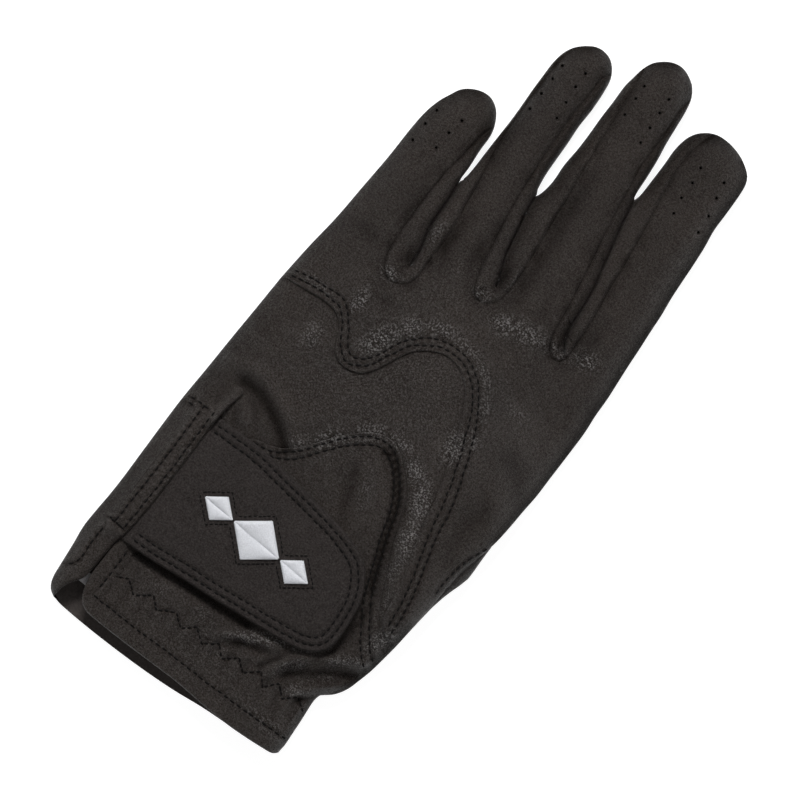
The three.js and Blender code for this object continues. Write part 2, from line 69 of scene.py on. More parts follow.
RING_OUT = [(-19.85, 23.2), (-19.85, 25), (-20.05, 28), (-20.85, 31), (-21.85, 35), (-22.15, 40), (-22.35, 44), (-22.6, 49.4),
            (-22.3, 55), (-22.3, 60.6), (-22.3, 66), (-22.2, 72), (-22.3, 77), (-22.6, 83), (-22.7, 88.8), (-22.7, 93), (-22, 97),
            (-20.5, 100), (-18.5, 102), (-16, 103.7), (-13.5, 104.2), (-10.5, 103.5), (-8.3, 101.5), (-6.9, 99), (-6.2, 95),
            (-5.8, 88.8), (-5.9, 83), (-5.5, 77.5), (-5.3, 72), (-5, 66.3), (-4.1, 60.6), (-3.55, 58), (-2.95, 54), (-2.15, 50),
            (-1.15, 45), (-0.15, 41), (1.05, 38), (2.35, 35), (2.95, 33.1)]
MIDDLE_OUT = [(2.95, 33.1), (2.65, 35), (1.35, 38), (0.15, 41), (-0.85, 45), (-1.85, 50), (-2.65, 54), (-3.1, 58), (-2.9, 60.6),
              (-2.3, 66), (-2.6, 72), (-2.3, 77.5), (-2.3, 83), (-2.5, 88.8), (-2.5, 94.4), (-2.6, 100), (-2.2, 103), (-1.5, 107),
              (-0.2, 110), (1.8, 112), (4.2, 113.5), (7, 114), (9.7, 113.3), (12.5, 111.5), (14.3, 109), (15.3, 105.5), (16, 100),
              (16.6, 94.4), (17.5, 88.8), (18.1, 83), (18.5, 77.5), (19.3, 74), (20.05, 70), (21.15, 65), (22.35, 60),
              (23.55, 55), (24.85, 50), (25.65, 45), (26.15, 40), (26.65, 35), (27.8, 32), (29.5, 29.8)]
RIGHT_UP = [(29.5, 29.8), (28.15, 32.1), (26.95, 35), (26.45, 40), (25.95, 45), (25.15, 50), (23.85, 55), (22.65, 60), (21.45, 65),
            (20.35, 70), (19.8, 74), (19.7, 77.5), (19.7, 83), (19.7, 88.8), (19.5, 94.4), (20, 98), (20.7, 100), (22, 102),
            (24.5, 104), (27, 105), (31, 105.1), (35, 104.2), (37.5, 103), (40.2, 101), (41.3, 99), (41.8, 96), (42.1, 88.8),
            (42.2, 83), (43, 77.5), (43.5, 72), (43.9, 66), (44.3, 60.6), (45, 55), (45.4, 49.4), (45.9, 43.7), (46.3, 38),
            (46.8, 32.5), (47.3, 26.8), (47.5, 21.2), (48, 15.6), (48.1, 9.9), (48.1, -1.3), (48.1, -7), (47.7, -12.6),
            (47.4, -18.2), (46.9, -23.9), (46.2, -28), (45.5, -31), (44.5, -36), (43.85, -42), (43.4, -50), (43.0, -56), (42.4, -64.5)]
RIGHT_LOW = [(42.4, -64.5), (41.9, -68.9), (41.1, -74.6), (39.9, -79.5), (39.2, -82), (38, -84.5), (36.5, -86.5), (35, -87.8),
             (33.9, -88.7), (33.4, -91), (33.6, -94), (33.9, -97), (34.3, -102.7), (34.5, -106), (34.3, -108.6)]
PALM_CUFF = [(34.3, -108.6), (33, -110), (30, -110.5), (20, -111.3), (10, -111.9), (0, -113), (-10, -113.6), (-20, -113.8),
             (-30, -113.7), (-37, -113.4), (-40.4, -113.1), (-42.9, -112.3)]

SEAMS = {
    "pinky_right": [(-24.6, 69.2), (-25.5, 66.5), (-26.4, 62), (-27, 56), (-27.8, 50), (-28, 45), (-28.2, 40), (-28, 35), (-27.8, 30),
                    (-27.5, 25), (-26.8, 21), (-25.5, 18.5), (-23.7, 16.7), (-21.8, 16.0), (-20, 16.5), (-17.5, 18), (-16.2, 21),
                    (-16.2, 25), (-16.2, 30), (-16.4, 37), (-17, 42), (-17.8, 46), (-18.5, 52), (-19.5, 57), (-20.5, 62),
                    (-21.1, 66), (-21.4, 70), (-21.5, 77), (-21.6, 84), (-21.7, 91), (-21.4, 96), (-20.6, 99.4)],
    "ring_right": [(-7.5, 100.3), (-8.6, 98.5), (-9.0, 97), (-8.9, 92), (-9.3, 87), (-9.2, 80), (-8.8, 75), (-8.7, 70), (-8.2, 65), (-7.8, 60),
                   (-7.2, 55), (-6.5, 50), (-5.8, 46), (-5, 42), (-4.3, 38), (-3.5, 34), (-2.5, 31), (-1.2, 28.4), (0.5, 26.9),
                   (2.4, 26.8), (4.3, 27.8), (5.8, 29.7), (6.5, 32), (6.6, 36), (6.5, 40), (6, 45), (5.5, 50), (4.8, 55),
                   (4.3, 60), (3.8, 65), (3, 70), (2.5, 75), (1.8, 80), (1.2, 85), (0.8, 90), (0.2, 94), (-0.3, 100),
                   (-0.8, 104), (-1.3, 107.3)],
    "middle_right": [(14.6, 108.4), (14.0, 105), (14.4, 100), (14.7, 94), (14.8, 90), (14.8, 85), (15.5, 80), (16.2, 76), (17, 70),
                     (18, 65), (19, 60), (20, 55), (21, 50), (22, 44), (22.8, 40), (23.3, 36), (24, 32), (24.9, 29.4),
                     (26.3, 27.3), (28.5, 26.4), (30.2, 27.3), (31, 29), (31, 31), (30.8, 35), (30.5, 40), (30, 44),
                     (29.2, 49), (28.5, 54), (28.2, 58), (27.5, 63), (26.8, 68), (26, 74), (25.3, 78), (24.4, 83), (23.6, 88),
                     (23.3, 92), (23.5, 96), (24.2, 100.5), (25.6, 104.3)],
}
CROTCH_TACK = [(-0.2, 29.6), (1.4, 31.0), (3.0, 33.2)]
HOLES = [(-40.4, 62.2), (-40.7, 57.2), (-40.7, 51.4), (-33, 64), (-33.8, 59.1), (-34.1, 53.6),
         (-20.0, 93.6), (-20.0, 89), (-19.9, 83.8), (-19.9, 78.4), (-13.5, 95.7), (-13.4, 91), (-12.9, 85.9), (-12.3, 80.9),
         (1.8, 103), (2.0, 98.8), (2.3, 93.3), (9.6, 104.2), (9.8, 99.6), (10.2, 94.6), (10.6, 89.7),
         (28.4, 94.3), (29.1, 89.6), (29.2, 84.4), (30.1, 79.6), (36.1, 95), (37.1, 90.3), (38.4, 85), (38.9, 79.6)]

W1_EDGE = [(-46.7, -1.9), (-45, -1.1), (-43, -0.8), (-38, -0.3), (-33, 0.3), (-29.5, 0), (-27, -1), (-25, -3), (-23, -7), (-21, -9.8),
           (-18, -11), (-15, -10.8), (-12, -9.5), (-10, -7), (-8, -3), (-5.5, 2.5), (-3, 5.5), (0, 7.5), (3, 8.8), (6, 8.9),
           (9, 8.2), (12, 6.3), (15, 3), (17, -1), (19, -5), (21.3, -10.6), (23.3, -16.5), (25, -22), (26.3, -27), (27.3, -31.5),
           (28.5, -36), (30.0, -41), (31.6, -46), (32.9, -51), (33.6, -55), (34.3, -59), (36, -62.6), (39, -64.2), (42.4, -64.5)]
W1_ROW1 = [(-45.8, 2), (-42, 2.7), (-39, 3.3), (-35, 3.7), (-31, 4.1), (-28, 3.6), (-26, 2), (-24, 0), (-22, -2.5),
           (-20.5, -5), (-18.7, -6.8), (-17, -7.3), (-15, -6.6), (-13.5, -5.3), (-12.2, -3.5), (-11.3, -1.8), (-10.3, 0.3),
           (-9.5, 2.3), (-8.5, 4.4), (-7.2, 6.2), (-5.5, 7.8), (-3.8, 9.4), (-2, 10.5), (0, 11.4), (2, 11.9), (4.3, 12.2),
           (6.5, 12.2), (8.5, 11.9), (10.2, 11.5), (12, 10.6), (13.5, 9.6), (15, 8.6), (16.2, 7.4), (17.3, 6), (18.4, 4.6),
           (19.6, 3), (20.8, 1.2), (22, -1), (23, -2.8), (23.9, -4.5), (24.8, -7), (25.9, -9.5), (26.8, -12), (27.7, -14.5),
           (28.7, -17), (29.7, -20), (30.8, -24), (31.5, -27), (32, -31), (33, -35), (34.5, -40), (36, -45), (37.3, -50),
           (38.1, -54), (38.6, -58), (38.8, -61), (38.9, -63.3)]
W1_ROW2 = [(-46, 0.3), (-44, 0.5), (-41, 1.1), (-35.5, 1.9), (-30.5, 1.8), (-28.5, 1.6), (-26.8, 0.3), (-25, -1.6), (-23.8, -3.5),
           (-22.5, -5.8), (-20.5, -8), (-18.7, -9.2), (-16.8, -9.5), (-14.5, -8.6), (-12.5, -7.1), (-11, -5), (-9.8, -2),
           (-8.5, 0.2), (-7.3, 2.5), (-6, 4.8), (-3.8, 6.8), (-2, 8.1), (0.5, 9.5), (2.5, 10.2), (5, 10.5), (7.5, 10.3),
           (9.5, 9.8), (11.5, 8.8), (13, 7.8), (14.8, 6.3), (16.5, 4.5), (17.5, 3), (18.8, 1), (19.7, -1), (20.8, -3.3),
           (21.8, -6), (23, -8.5), (24, -11), (25.3, -15), (26.5, -18), (27.8, -22.5), (29.0, -27), (30.0, -32), (31.2, -36.5),
           (32.6, -41), (34.1, -46), (35.4, -51), (36.2, -55), (36.8, -59), (37.1, -62.2)]
W2_EDGE = [(-36.3, -52), (-33, -48.5), (-28, -45), (-23.5, -42.2), (-21, -41.7), (-18.5, -40.7), (-16.5, -39.7), (-15, -38.2),
           (-13.5, -37), (-12.3, -35.7), (-11, -34), (-9.5, -31.7), (-8, -29.7), (-6.5, -27.7), (-4.8, -25.7), (-2.8, -23.7),
           (-0.8, -21.9), (1.3, -20.5), (3, -19.8), (5.2, -19.4), (7, -19.5), (10, -20.7), (12.5, -22.8), (15, -25), (17.6, -27.8),
           (19.9, -31), (21.6, -36), (23.4, -41.5), (25.6, -46), (28.2, -51), (30.3, -56), (32.7, -60), (36, -64.6), (39, -67.6),
           (41.9, -68.9)]
W2_ROW1 = [(-27, -45.6), (-23.5, -43.4), (-21, -43), (-18.5, -42), (-16.5, -41), (-15, -39.5), (-13.5, -38.3), (-12.3, -37), (-11, -35.3),
           (-9.5, -33), (-8, -31), (-6.5, -29), (-4.8, -27), (-2.8, -25), (-0.8, -23.2), (1.3, -21.8), (3.5, -21), (5.5, -20.8),
           (8, -21.2), (10, -22.2), (12, -24), (14, -26), (16, -28.5), (18, -31.4), (19.8, -35.5), (20.7, -39), (22, -43), (23.2, -46),
           (24.8, -50), (26.4, -54), (28.2, -57.5), (30.5, -61), (34, -66), (37.4, -70), (40.6, -72.6)]
W2_ROW2 = [(-24, -45.6), (-19, -43.9), (-16.5, -43), (-14.5, -41.8), (-12.5, -40.2), (-11.3, -38.8), (-9.8, -36.9), (-8.5, -35),
           (-7.2, -33.4), (-5.7, -31.5), (-4.3, -29.5), (-2.8, -28), (-1, -26.3), (0.8, -25), (2.5, -23.7), (4.5, -23),
           (7, -23.2), (10.5, -25), (13, -27.5), (15.5, -31), (17.2, -34), (18.7, -37.8), (20, -42), (21.3, -45.5),
           (22.9, -49.5), (24.4, -53.5), (26.2, -57.8), (28.4, -61.8), (32, -67.4), (35.6, -72), (39.6, -75.6)]
THUMB_ROW = [(46.4, -26.3), (45.3, -28.6), (44.3, -31), (43.3, -34), (42.6, -37), (42.2, -40), (42.1, -43.5), (42.2, -47)]
WRIST_EDGE = [(34.3, -108.6), (33, -109.6), (30, -110.0), (20, -110.7), (10, -110.6), (0, -110.0), (-10, -110.0), (-20, -110.1), (-30, -109.9),
              (-33, -109.6), (-35.3, -108.2), (-36.8, -105.9), (-37.6, -103.4), (-38.0, -100.6), (-38.0, -95), (-37.8, -88), (-37.0, -80), (-36.4, -66),
              (-36.3, -52)]
HEM_ROW = [(-34.6, -104.9), (-20, -105.1), (-5, -104.9), (10, -105), (25, -104.6), (34.2, -104.2)]
WRIST_COLUMN = [(-33.9, -88.4), (-33.8, -95), (-33.9, -103.6)]
ZIGZAG = [(-31.8, -96.8), (-29, -95.2), (-25, -98.1), (-20.5, -94.7), (-17.6, -97.5), (-12.5, -94.5), (-9, -97.5), (-5.5, -94.4),
          (-1.5, -97.2), (2.3, -94.2), (5.5, -97.2), (9.5, -93.9), (12.5, -96.8), (16.5, -93.3), (19.5, -96.6), (22.5, -92.8),
          (25.8, -95.8), (29.2, -92.6), (33.2, -95.6)]
FACING_EDGE = [(-42.2, -34.9), (-39.5, -34.1), (-37, -33.5), (-35.7, -33.5), (-35.2, -34.6), (-35.7, -37.5), (-36.4, -42), (-36.5, -52), (-36.5, -66),
               (-36.7, -78), (-37.5, -86), (-38.3, -90), (-38.6, -95), (-38.8, -100.5), (-39.3, -102.8), (-40.5, -104.8), (-41.8, -106.8),
               (-42.5, -109), (-42.9, -112.3)]
FACING_TOP = [(-47.7, -35.6), (-45.5, -35.2), (-42.2, -34.6)]
COLUMN_A = [(-41.6, -42.5), (-41.5, -55), (-41.5, -70), (-41.8, -85)]
COLUMN_B = [(-38.3, -42.5), (-38.2, -55), (-38.2, -70), (-38.6, -85)]
COLUMN_C = [(-43.3, -86.6), (-43.4, -90), (-43.5, -94), (-43.2, -98), (-43.4, -100), (-44.6, -101.8), (-46.0, -103.0)]
TACK_A = [(-46.6, -43.9), (-43.2, -43.7), (-39.6, -43.6)]
TACK_B = [(-46.6, -45.6), (-43.2, -45.4)]
TACK_C = [(-44.0, -84.6), (-38.2, -84.9)]
TAB_OUT = [(-43.4, -44.4), (-35, -43.8), (-20, -43.6), (-10, -44.8), (0, -46), (5, -46.7), (10, -47.5), (15, -48.8), (18, -49.8),
           (20, -50.8), (22, -52.5), (24, -55), (26, -58.5), (27.2, -62), (27.8, -66), (28.2, -70), (28.1, -74), (27.3, -76.8),
           (25.6, -79.1), (23, -80.7), (20, -81.8), (15, -82.6), (10, -83.2), (5, -83.8), (0, -84.3), (-5, -84.9), (-10, -85.3),
           (-15, -85.7), (-20, -86.2), (-25, -86.8), (-30, -87.2), (-37, -87.5), (-43.6, -87.2)]
# Soft folds: centre line, height (mm), half width (mm).
FOLDS = [
    ([(-39.5, -32.4), (-36, -31.3), (-32, -31.4), (-28, -32.6), (-22, -35.6), (-17, -39.2), (-14, -41.5)], -1.5, 2.2),
    ([(-40.2, -36.5), (-39.9, -39), (-39.7, -42.6)], -0.45, 0.8),
    ([(-47, -29), (-40, -27.2), (-33, -26.5), (-26, -28.6), (-19, -33), (-14, -38)], 0.9, 2.8),
    ([(-35.4, -35.5), (-32, -37.6), (-28.4, -41.5)], 1.3, 1.1),
    ([(-32.6, -34.4), (-29.6, -36), (-26, -40)], -0.7, 1.0),
    ([(-34.6, -39), (-32.5, -41.5), (-31, -44)], -0.8, 0.9),
    # folds that run from the elastic up to the end of the tab
    ([(-0.3, -95), (0.6, -92.5), (3.4, -90), (8, -87.6), (13.6, -85.8), (18, -84.4)], 1.4, 1.1),
    ([(2.6, -94.5), (5.6, -91.6), (10.5, -89.4), (15.5, -88)], -1.2, 1.0),
    ([(8, -95.5), (10.5, -92.5), (14, -90.4)], 0.8, 1.0),
    ([(13.2, -94.5), (15.6, -91.8), (17.2, -88.5), (19.6, -85)], -1.0, 0.9),
    ([(18.7, -94.5), (18.8, -91), (19.3, -88), (21.5, -85), (24.8, -82), (30.7, -77.9), (35.7, -75), (40, -73.2)], 2.0, 1.3),
    ([(21.2, -93), (22.4, -90), (27.3, -85.8), (31.5, -82.5), (37.3, -79.2), (40.5, -77.5)], -1.9, 1.4),
    ([(25.6, -95), (27.3, -93), (30.7, -89.2), (34.8, -85.2), (38.6, -82.4)], 1.5, 1.25),
    ([(29.3, -94.4), (31.6, -91.6), (34.2, -89)], -0.9, 0.9),
    ([(-22, -93.5), (-20, -90.5), (-17, -88.5)], 0.6, 1.0),
    ([(-13, -93.5), (-10.5, -90.5), (-6, -88)], 0.7, 1.1),
    ([(-28.5, -94), (-26.5, -91), (-25.5, -88.6)], 0.45, 1.0),
    # the back of the hand
    ([(26, -9), (28.2, -19), (30.2, -31), (32.5, -43), (35, -56)], 0.55, 2.6),
    ([(5, -22.4), (10.5, -23.8), (14.8, -28), (18.2, -33), (20.4, -39), (22.8, -45.5), (25.2, -52), (28.4, -59)], -1.25, 2.3),
    ([(16.5, -10), (20.6, -20), (24.2, -28), (26.8, -37), (29.2, -46)], 0.85, 1.9),
    ([(24.5, -27), (26.5, -36), (30.5, -46), (33.5, -54)], 0.6, 1.8),
    ([(10.5, -29), (14, -36), (17, -44), (20, -49)], 0.7, 2.4),
    ([(1.5, -29), (4.2, -36), (7.2, -43), (10, -49)], -0.42, 2.3),
    ([(-36, -14), (-31, -9.5), (-26, -7), (-22.5, -10)], 0.5, 3.2),
    ([(-33, 7), (-28.5, 9), (-24.5, 6.5), (-21, 1)], 0.55, 2.6),
    ([(-21.5, 6), (-16.5, -1), (-12.5, 4), (-9.5, 9.5)], 0.55, 2.4),
    ([(-10, 17), (-3, 16.5), (5, 17), (12, 15)], 0.5, 2.8),
    ([(13, 27), (17, 22.5), (24, 19.5), (33, 24), (40, 25)], 0.6, 3.4),
    ([(-14.5, -16), (-6, -13), (2, -14), (8, -11)], 0.35, 3.6),
    ([(-27, 13.5), (-21.5, 10), (-16.5, 12.5)], -0.35, 2.4),
    ([(46.5, -14), (40, -6), (32, -2)], -0.5, 3.2),
    ([(47, 4), (38, 8), (30, 8)], 0.35, 3.4),
    ([(-46, -18), (-38, -20), (-28, -16)], 0.4, 2.6),
    ([(-41.5, 24.6), (-36, 23.3), (-31, 21.8), (-28.6, 20.4)], -0.5, 2.3),
    ([(40, -40), (37, -28), (39, -16)], -0.4, 2.6),
    # creases at the roots of the fingers
    ([(-15.4, 50), (-15.2, 40), (-14.0, 31), (-9.5, 23)], -0.6, 3.2),
    ([(-7.4, 46), (-7.2, 37), (-5.0, 28)], -0.65, 2.2),
    ([(5.4, 78), (6.9, 64), (7.8, 56), (8.9, 47), (9.6, 38), (9.3, 27)], -0.62, 2.8),
    ([(18, 47), (17.6, 38), (18.4, 30), (20.6, 23)], -0.35, 1.6),
    ([(34.8, 46), (34.4, 38), (34.2, 30), (32, 22)], -0.5, 1.8),
    ([(-31.6, 52), (-32, 42), (-32.4, 32)], -0.35, 1.8),
    ([(8, -26), (10.5, -33), (13, -41), (15, -47)], 0.9, 2.2),
    ([(2.2, -30), (4.6, -37), (7.5, -44)], -0.25, 1.9),
    ([(-34, -88.2), (-20, -87.1), (-5, -86.0), (8, -84.8)], -1.3, 1.6),
    ([(29.3, -58), (29.9, -66), (29.7, -74), (28.2, -79), (24.5, -82.6)], -0.9, 1.2),
    ([(-22.4, 30), (-21.8, 26), (-20.4, 22)], -0.8, 1.5),
    ([(-1.2, 46), (0.4, 40), (2.4, 35)], -0.7, 1.5),
    ([(25.4, 51), (25.9, 45), (26.6, 39)], -0.6, 1.3),
    ([(-30.2, 27), (-29.6, 34), (-29.9, 42)], -0.3, 1.2),
    ([(-30.5, -38), (-25, -37.2), (-20, -38.5), (-15.5, -41.5)], 0.5, 1.3),
]

# hinge point, lean in degrees, start and end of the two blends and the cut between the pieces, along the finger
FINGER = {
    "pinky": dict(base=(-33.8, 27), lean=0.0, knuckle=(26.5, 36), mid=(43, 53), cut=39.5, root=26.5, hinge=48),
    "ring": dict(base=(-11.2, 33), lean=4.4, knuckle=(35, 44.5), mid=(61, 71), cut=52, root=35, hinge=66),
    "middle": dict(base=(13.2, 34), lean=6.0, knuckle=(36, 45.5), mid=(67, 77), cut=56, root=36, hinge=72),
    "index": dict(base=(37, 34), lean=5.7, knuckle=(34.5, 44), mid=(61, 71), cut=52, root=34.5, hinge=66),
}


# ------------------------------------------------------------------ curve tools
def arc(points):
    p = np.asarray(points, float)
    return np.concatenate([[0], np.cumsum(np.hypot(*np.diff(p, axis=0).T))])


def resample(points, step):
    p = np.asarray(points, float)
    s = arc(p)
    n = max(2, int(round(s[-1] / step)) + 1)
    t = np.linspace(0, s[-1], n)
    return np.stack([np.interp(t, s, p[:, 0]), np.interp(t, s, p[:, 1])], 1)


def curve(points, step, closed=False):
    """A smooth line through the points (centripetal Catmull-Rom), resampled evenly."""
    p = np.asarray(points, float)
    if len(p) < 3:
        return resample(p, step)
    q = np.vstack([2 * p[0] - p[1], p, 2 * p[-1] - p[-2]])
    out = []
    for i in range(1, len(q) - 2):
        p0, p1, p2, p3 = q[i - 1], q[i], q[i + 1], q[i + 2]
        t0 = 0.0
        t1 = t0 + max(np.hypot(*(p1 - p0)), 1e-6) ** 0.5
        t2 = t1 + max(np.hypot(*(p2 - p1)), 1e-6) ** 0.5
        t3 = t2 + max(np.hypot(*(p3 - p2)), 1e-6) ** 0.5
        for t in np.linspace(t1, t2, 9)[:-1]:
            a1 = (t1 - t) / (t1 - t0) * p0 + (t - t0) / (t1 - t0) * p1
            a2 = (t2 - t) / (t2 - t1) * p1 + (t - t1) / (t2 - t1) * p2
            a3 = (t3 - t) / (t3 - t2) * p2 + (t - t2) / (t3 - t2) * p3
            b1 = (t2 - t) / (t2 - t0) * a1 + (t - t0) / (t2 - t0) * a2
            b2 = (t3 - t) / (t3 - t1) * a2 + (t - t1) / (t3 - t1) * a3
            out.append((t2 - t) / (t2 - t1) * b1 + (t - t1) / (t2 - t1) * b2)
    out.append(p[-1])
    return resample(out, step)


def side_normals(line):
    """Unit normals to the left of a line's direction."""
    t = np.gradient(line, axis=0)
    t /= np.maximum(np.hypot(t[:, 0], t[:, 1]), 1e-9)[:, None]
    return np.stack([-t[:, 1], t[:, 0]], 1)


def shift_line(line, d):
    return line + side_normals(line) * d


def to_line(P, line, reach=None):
    """Distance of each point from a line, the arc length of its foot, and the signed side (left is positive)."""
    P = np.asarray(P, float)
    L = np.asarray(line, float)
    n = len(P)
    best = np.full(n, 1e9)
    foot = np.zeros(n)
    side = np.ones(n)
    todo = np.arange(n)
    if reach is not None:
        lo, hi = L.min(0) - reach, L.max(0) + reach
        todo = np.nonzero(((P > lo) & (P < hi)).all(1))[0]
    a, b = L[:-1], L[1:]
    ab = b - a
    ll = np.maximum((ab ** 2).sum(1), 1e-12)
    s0 = arc(L)[:-1]
    for k in range(0, len(todo), 3000):
        idx = todo[k:k + 3000]
        ap = P[idx][:, None, :] - a[None]
        t = np.clip((ap * ab[None]).sum(2) / ll[None], 0, 1)
        off = ap - t[:, :, None] * ab[None]
        d2 = (off ** 2).sum(2)
        j = d2.argmin(1)
        r = np.arange(len(idx))
        best[idx] = np.sqrt(d2[r, j])
        foot[idx] = s0[j] + t[r, j] * np.sqrt(ll[j])
        cr = ab[j, 0] * ap[r, j, 1] - ab[j, 1] * ap[r, j, 0]
        side[idx] = np.where(cr >= 0, 1, -1)
    return best, foot, side


def inside(P, poly):
    P = np.asarray(P, float)
    x, y = P[:, 0], P[:, 1]
    res = np.zeros(len(P), bool)
    q = np.asarray(poly, float)
    for (ax, ay), (bx, by) in zip(q, np.roll(q, -1, 0)):
        if ay == by:
            continue
        c = (ay > y) != (by > y)
        res ^= c & (x < (bx - ax) * (y - ay) / (by - ay) + ax)
    return res


def smooth(t):
    t = np.clip(t, 0, 1)
    return t * t * (3 - 2 * t)


def roll(u):
    """Rounded shoulder: 0 at the edge, 1 from u = 1."""
    return np.sqrt(np.clip(1 - (1 - np.clip(u, 0, 1)) ** 2, 0, 1))


# ------------------------------------------------------------------ the whole outline
SEC = [curve(s, STEP) for s in (LEFT_LOW, LEFT_UP, RING_OUT, MIDDLE_OUT, RIGHT_UP, RIGHT_LOW)]
OUTLINE = np.vstack([SEC[0]] + [s[1:] for s in SEC[1:]])
CUFF = curve(PALM_CUFF, STEP)
WHOLE = np.vstack([OUTLINE, CUFF[1:-1]])
ROLL_LINE = np.vstack([OUTLINE[:1] + [[0, -12]], OUTLINE, OUTLINE[-1:] + [[0, -12]]])
SLITS = [len(SEC[0]) + len(SEC[1]) - 2]
SLITS.append(SLITS[0] + len(SEC[2]) - 1)
SLITS.append(SLITS[1] + len(SEC[3]) - 1)
SEAM = {k: curve(v, 0.8) for k, v in SEAMS.items()}
far = np.full(len(OUTLINE), 1e9)
for i in range(len(OUTLINE)):
    o = np.hypot(*(OUTLINE - OUTLINE[i]).T)
    o[np.abs(np.arange(len(OUTLINE)) - i) < 6] = 1e9
    far[i] = o.min()
near_other = np.zeros(len(OUTLINE), bool)
for i in SLITS:
    for k in (range(i, 0, -1), range(i, len(OUTLINE))):
        for j in k:
            if abs(j - i) > 8 and far[j] > 1.3:
                break
            near_other[j] = True
slit_share = np.convolve(np.pad(near_other.astype(float), 5, mode="edge"), np.ones(11) / 11, "valid")
SLIT_SHARE = np.concatenate([[0], slit_share, [0]])
TOUCH = [curve(q, 0.5) for q in (
    [(-23.1, 50), (-22.9, 48), (-22.5, 44), (-22.3, 40), (-22, 35), (-21, 31), (-20.2, 28), (-20, 25), (-19.85, 23.2)],
    [(-3.6, 60.5), (-3.4, 58), (-2.8, 54), (-2, 50), (-1, 45), (0, 41), (1.2, 38), (2.5, 35), (2.95, 33.1)],
    [(19.35, 76), (19.55, 74), (20.2, 70), (21.3, 65), (22.5, 60), (23.7, 55), (25, 50), (25.8, 45), (26.3, 40), (26.8, 35), (27.95, 32), (29.5, 29.8)])]
for line in TOUCH:
    d, s, _ = to_line(OUTLINE, line)
    la = arc(line)
    foot = np.stack([np.interp(s, la, line[:, 0]), np.interp(s, la, line[:, 1])], 1)
    ok = (d < 0.6) & (d > 1e-4) & (slit_share > 0)
    w = smooth(slit_share * 1.6)[ok]
    to = (OUTLINE[ok] - foot[ok]) / d[ok][:, None]
    OUTLINE[ok] = foot[ok] + to * (d[ok] * (1 - w) + 0.05 * w)[:, None]
WHOLE = np.vstack([OUTLINE, CUFF[1:-1]])
ROLL_LINE = np.vstack([OUTLINE[:1] + [[0, -12]], OUTLINE, OUTLINE[-1:] + [[0, -12]]])
ROLL_ARC = arc(ROLL_LINE)


def shoulder(P, scale=1.0, r_hand=6.0, r_finger=8.0, r_slit=1.15):
    """Distance from the outline, and the rounded shoulder's height share there."""
    d, s, _ = to_line(P, ROLL_LINE)
    share = np.interp(s, ROLL_ARC, SLIT_SHARE)
    r = r_hand + (r_finger - r_hand) * smooth((P[:, 1] - 18) / 20)
    r = r * (1 - share) + r_slit * share
    return d, roll(d / (r * scale)), share


# Soft valleys where two fingers lie against each other: line, shift to the right, half width.
VALLEYS = [(TOUCH[0], -0.2, 1.5), (TOUCH[1], 1.0, 1.9), (TOUCH[2], -0.8, 1.6)]
POCKETS = [(-21.9, 23.0, 1.9, 3.6), (3.1, 36.5, 1.7, 4.2), (27.3, 34.0, 1.5, 4.4)]
THUMB_LINE = np.array([(43.5, -47), (36, -33), (27.5, -16), (19.5, -1)])
rng = np.random.default_rng(7)
WAVES = [(rng.uniform(0, 2 * np.pi), rng.uniform(16, 42), rng.uniform(0, 2 * np.pi)) for _ in range(14)]
RIPPLES = [(rng.uniform(0, 2 * np.pi), rng.uniform(5, 11), rng.uniform(0, 2 * np.pi)) for _ in range(16)]


def waves(P, table):
    z = np.zeros(len(P))
    for a, w, ph in table:
        z += np.sin((P[:, 0] * math.cos(a) + P[:, 1] * math.sin(a)) * 2 * np.pi / w + ph)
    return z / math.sqrt(len(table))


def lift(P):
    d = to_line(P, THUMB_LINE)[0]
    return (1 - smooth((d - 9.5) / 17)) * (1 - smooth((P[:, 1] - 8) / 17))


def slit_rise(P):
    P = np.asarray(P, float)[:, :2]
    r = np.zeros(len(P))
    up = P[:, 1] > 12
    if up.any():
        s = to_line(P[up], ROLL_LINE)[1]
        r[up] = 3.3 * np.interp(s, ROLL_ARC, SLIT_SHARE)
    return r


def mid_height(P):
    """Height at which the back meets the palm side: higher where two fingers touch."""
    return 4.3 + 5.0 * lift(P) + slit_rise(P)


def gauss(d, w):
    return np.exp(-(d / w) ** 2)


FOLD_LINES = []
for p, h, w in FOLDS:
    line = curve(p, 1.0)
    FOLD_LINES.append((line, h, w, min(12.0 if line[:, 1].min() > 15 else 3.0, arc(line)[-1] / 2), arc(line)[-1]))
ZZ = resample(ZIGZAG, 0.6)


def painted_fold_shading(P):
    """Painted shade down in the folds and painted highlight on their ridges: positive is darker."""
    P = np.asarray(P, float)
    c = np.zeros(len(P))
    droll = to_line(P, ROLL_LINE)[0]
    for line, amp, w, taper, end in FOLD_LINES:
        dd, s, _ = to_line(P, line, reach=3 * w + 1)
        ends = smooth(s / taper + 0.15) * smooth((end - s) / taper + 0.15)
        c += (0.60 * min(1.3, -amp) if amp < 0 else -0.22 * min(1.2, amp)) * gauss(dd, 0.8 * w) * ends
    # painted highlight and painted shade striped across the gathers along the elastic, following their ridges and
    # hollows
    g = gauss(P[:, 1] + 96.6 - 0.05 * P[:, 0], 5.0) * (P[:, 1] < -84) * smooth((P[:, 0] + 36) / 5)
    c += -0.28 * g * np.sin(P[:, 0] * 2 * np.pi / 4.3 + 1.1 * np.sin(P[:, 0] * 0.37) + 0.12 * (P[:, 1] + 96))
    return np.clip(c, -0.4, 0.8) * smooth(droll / 3)


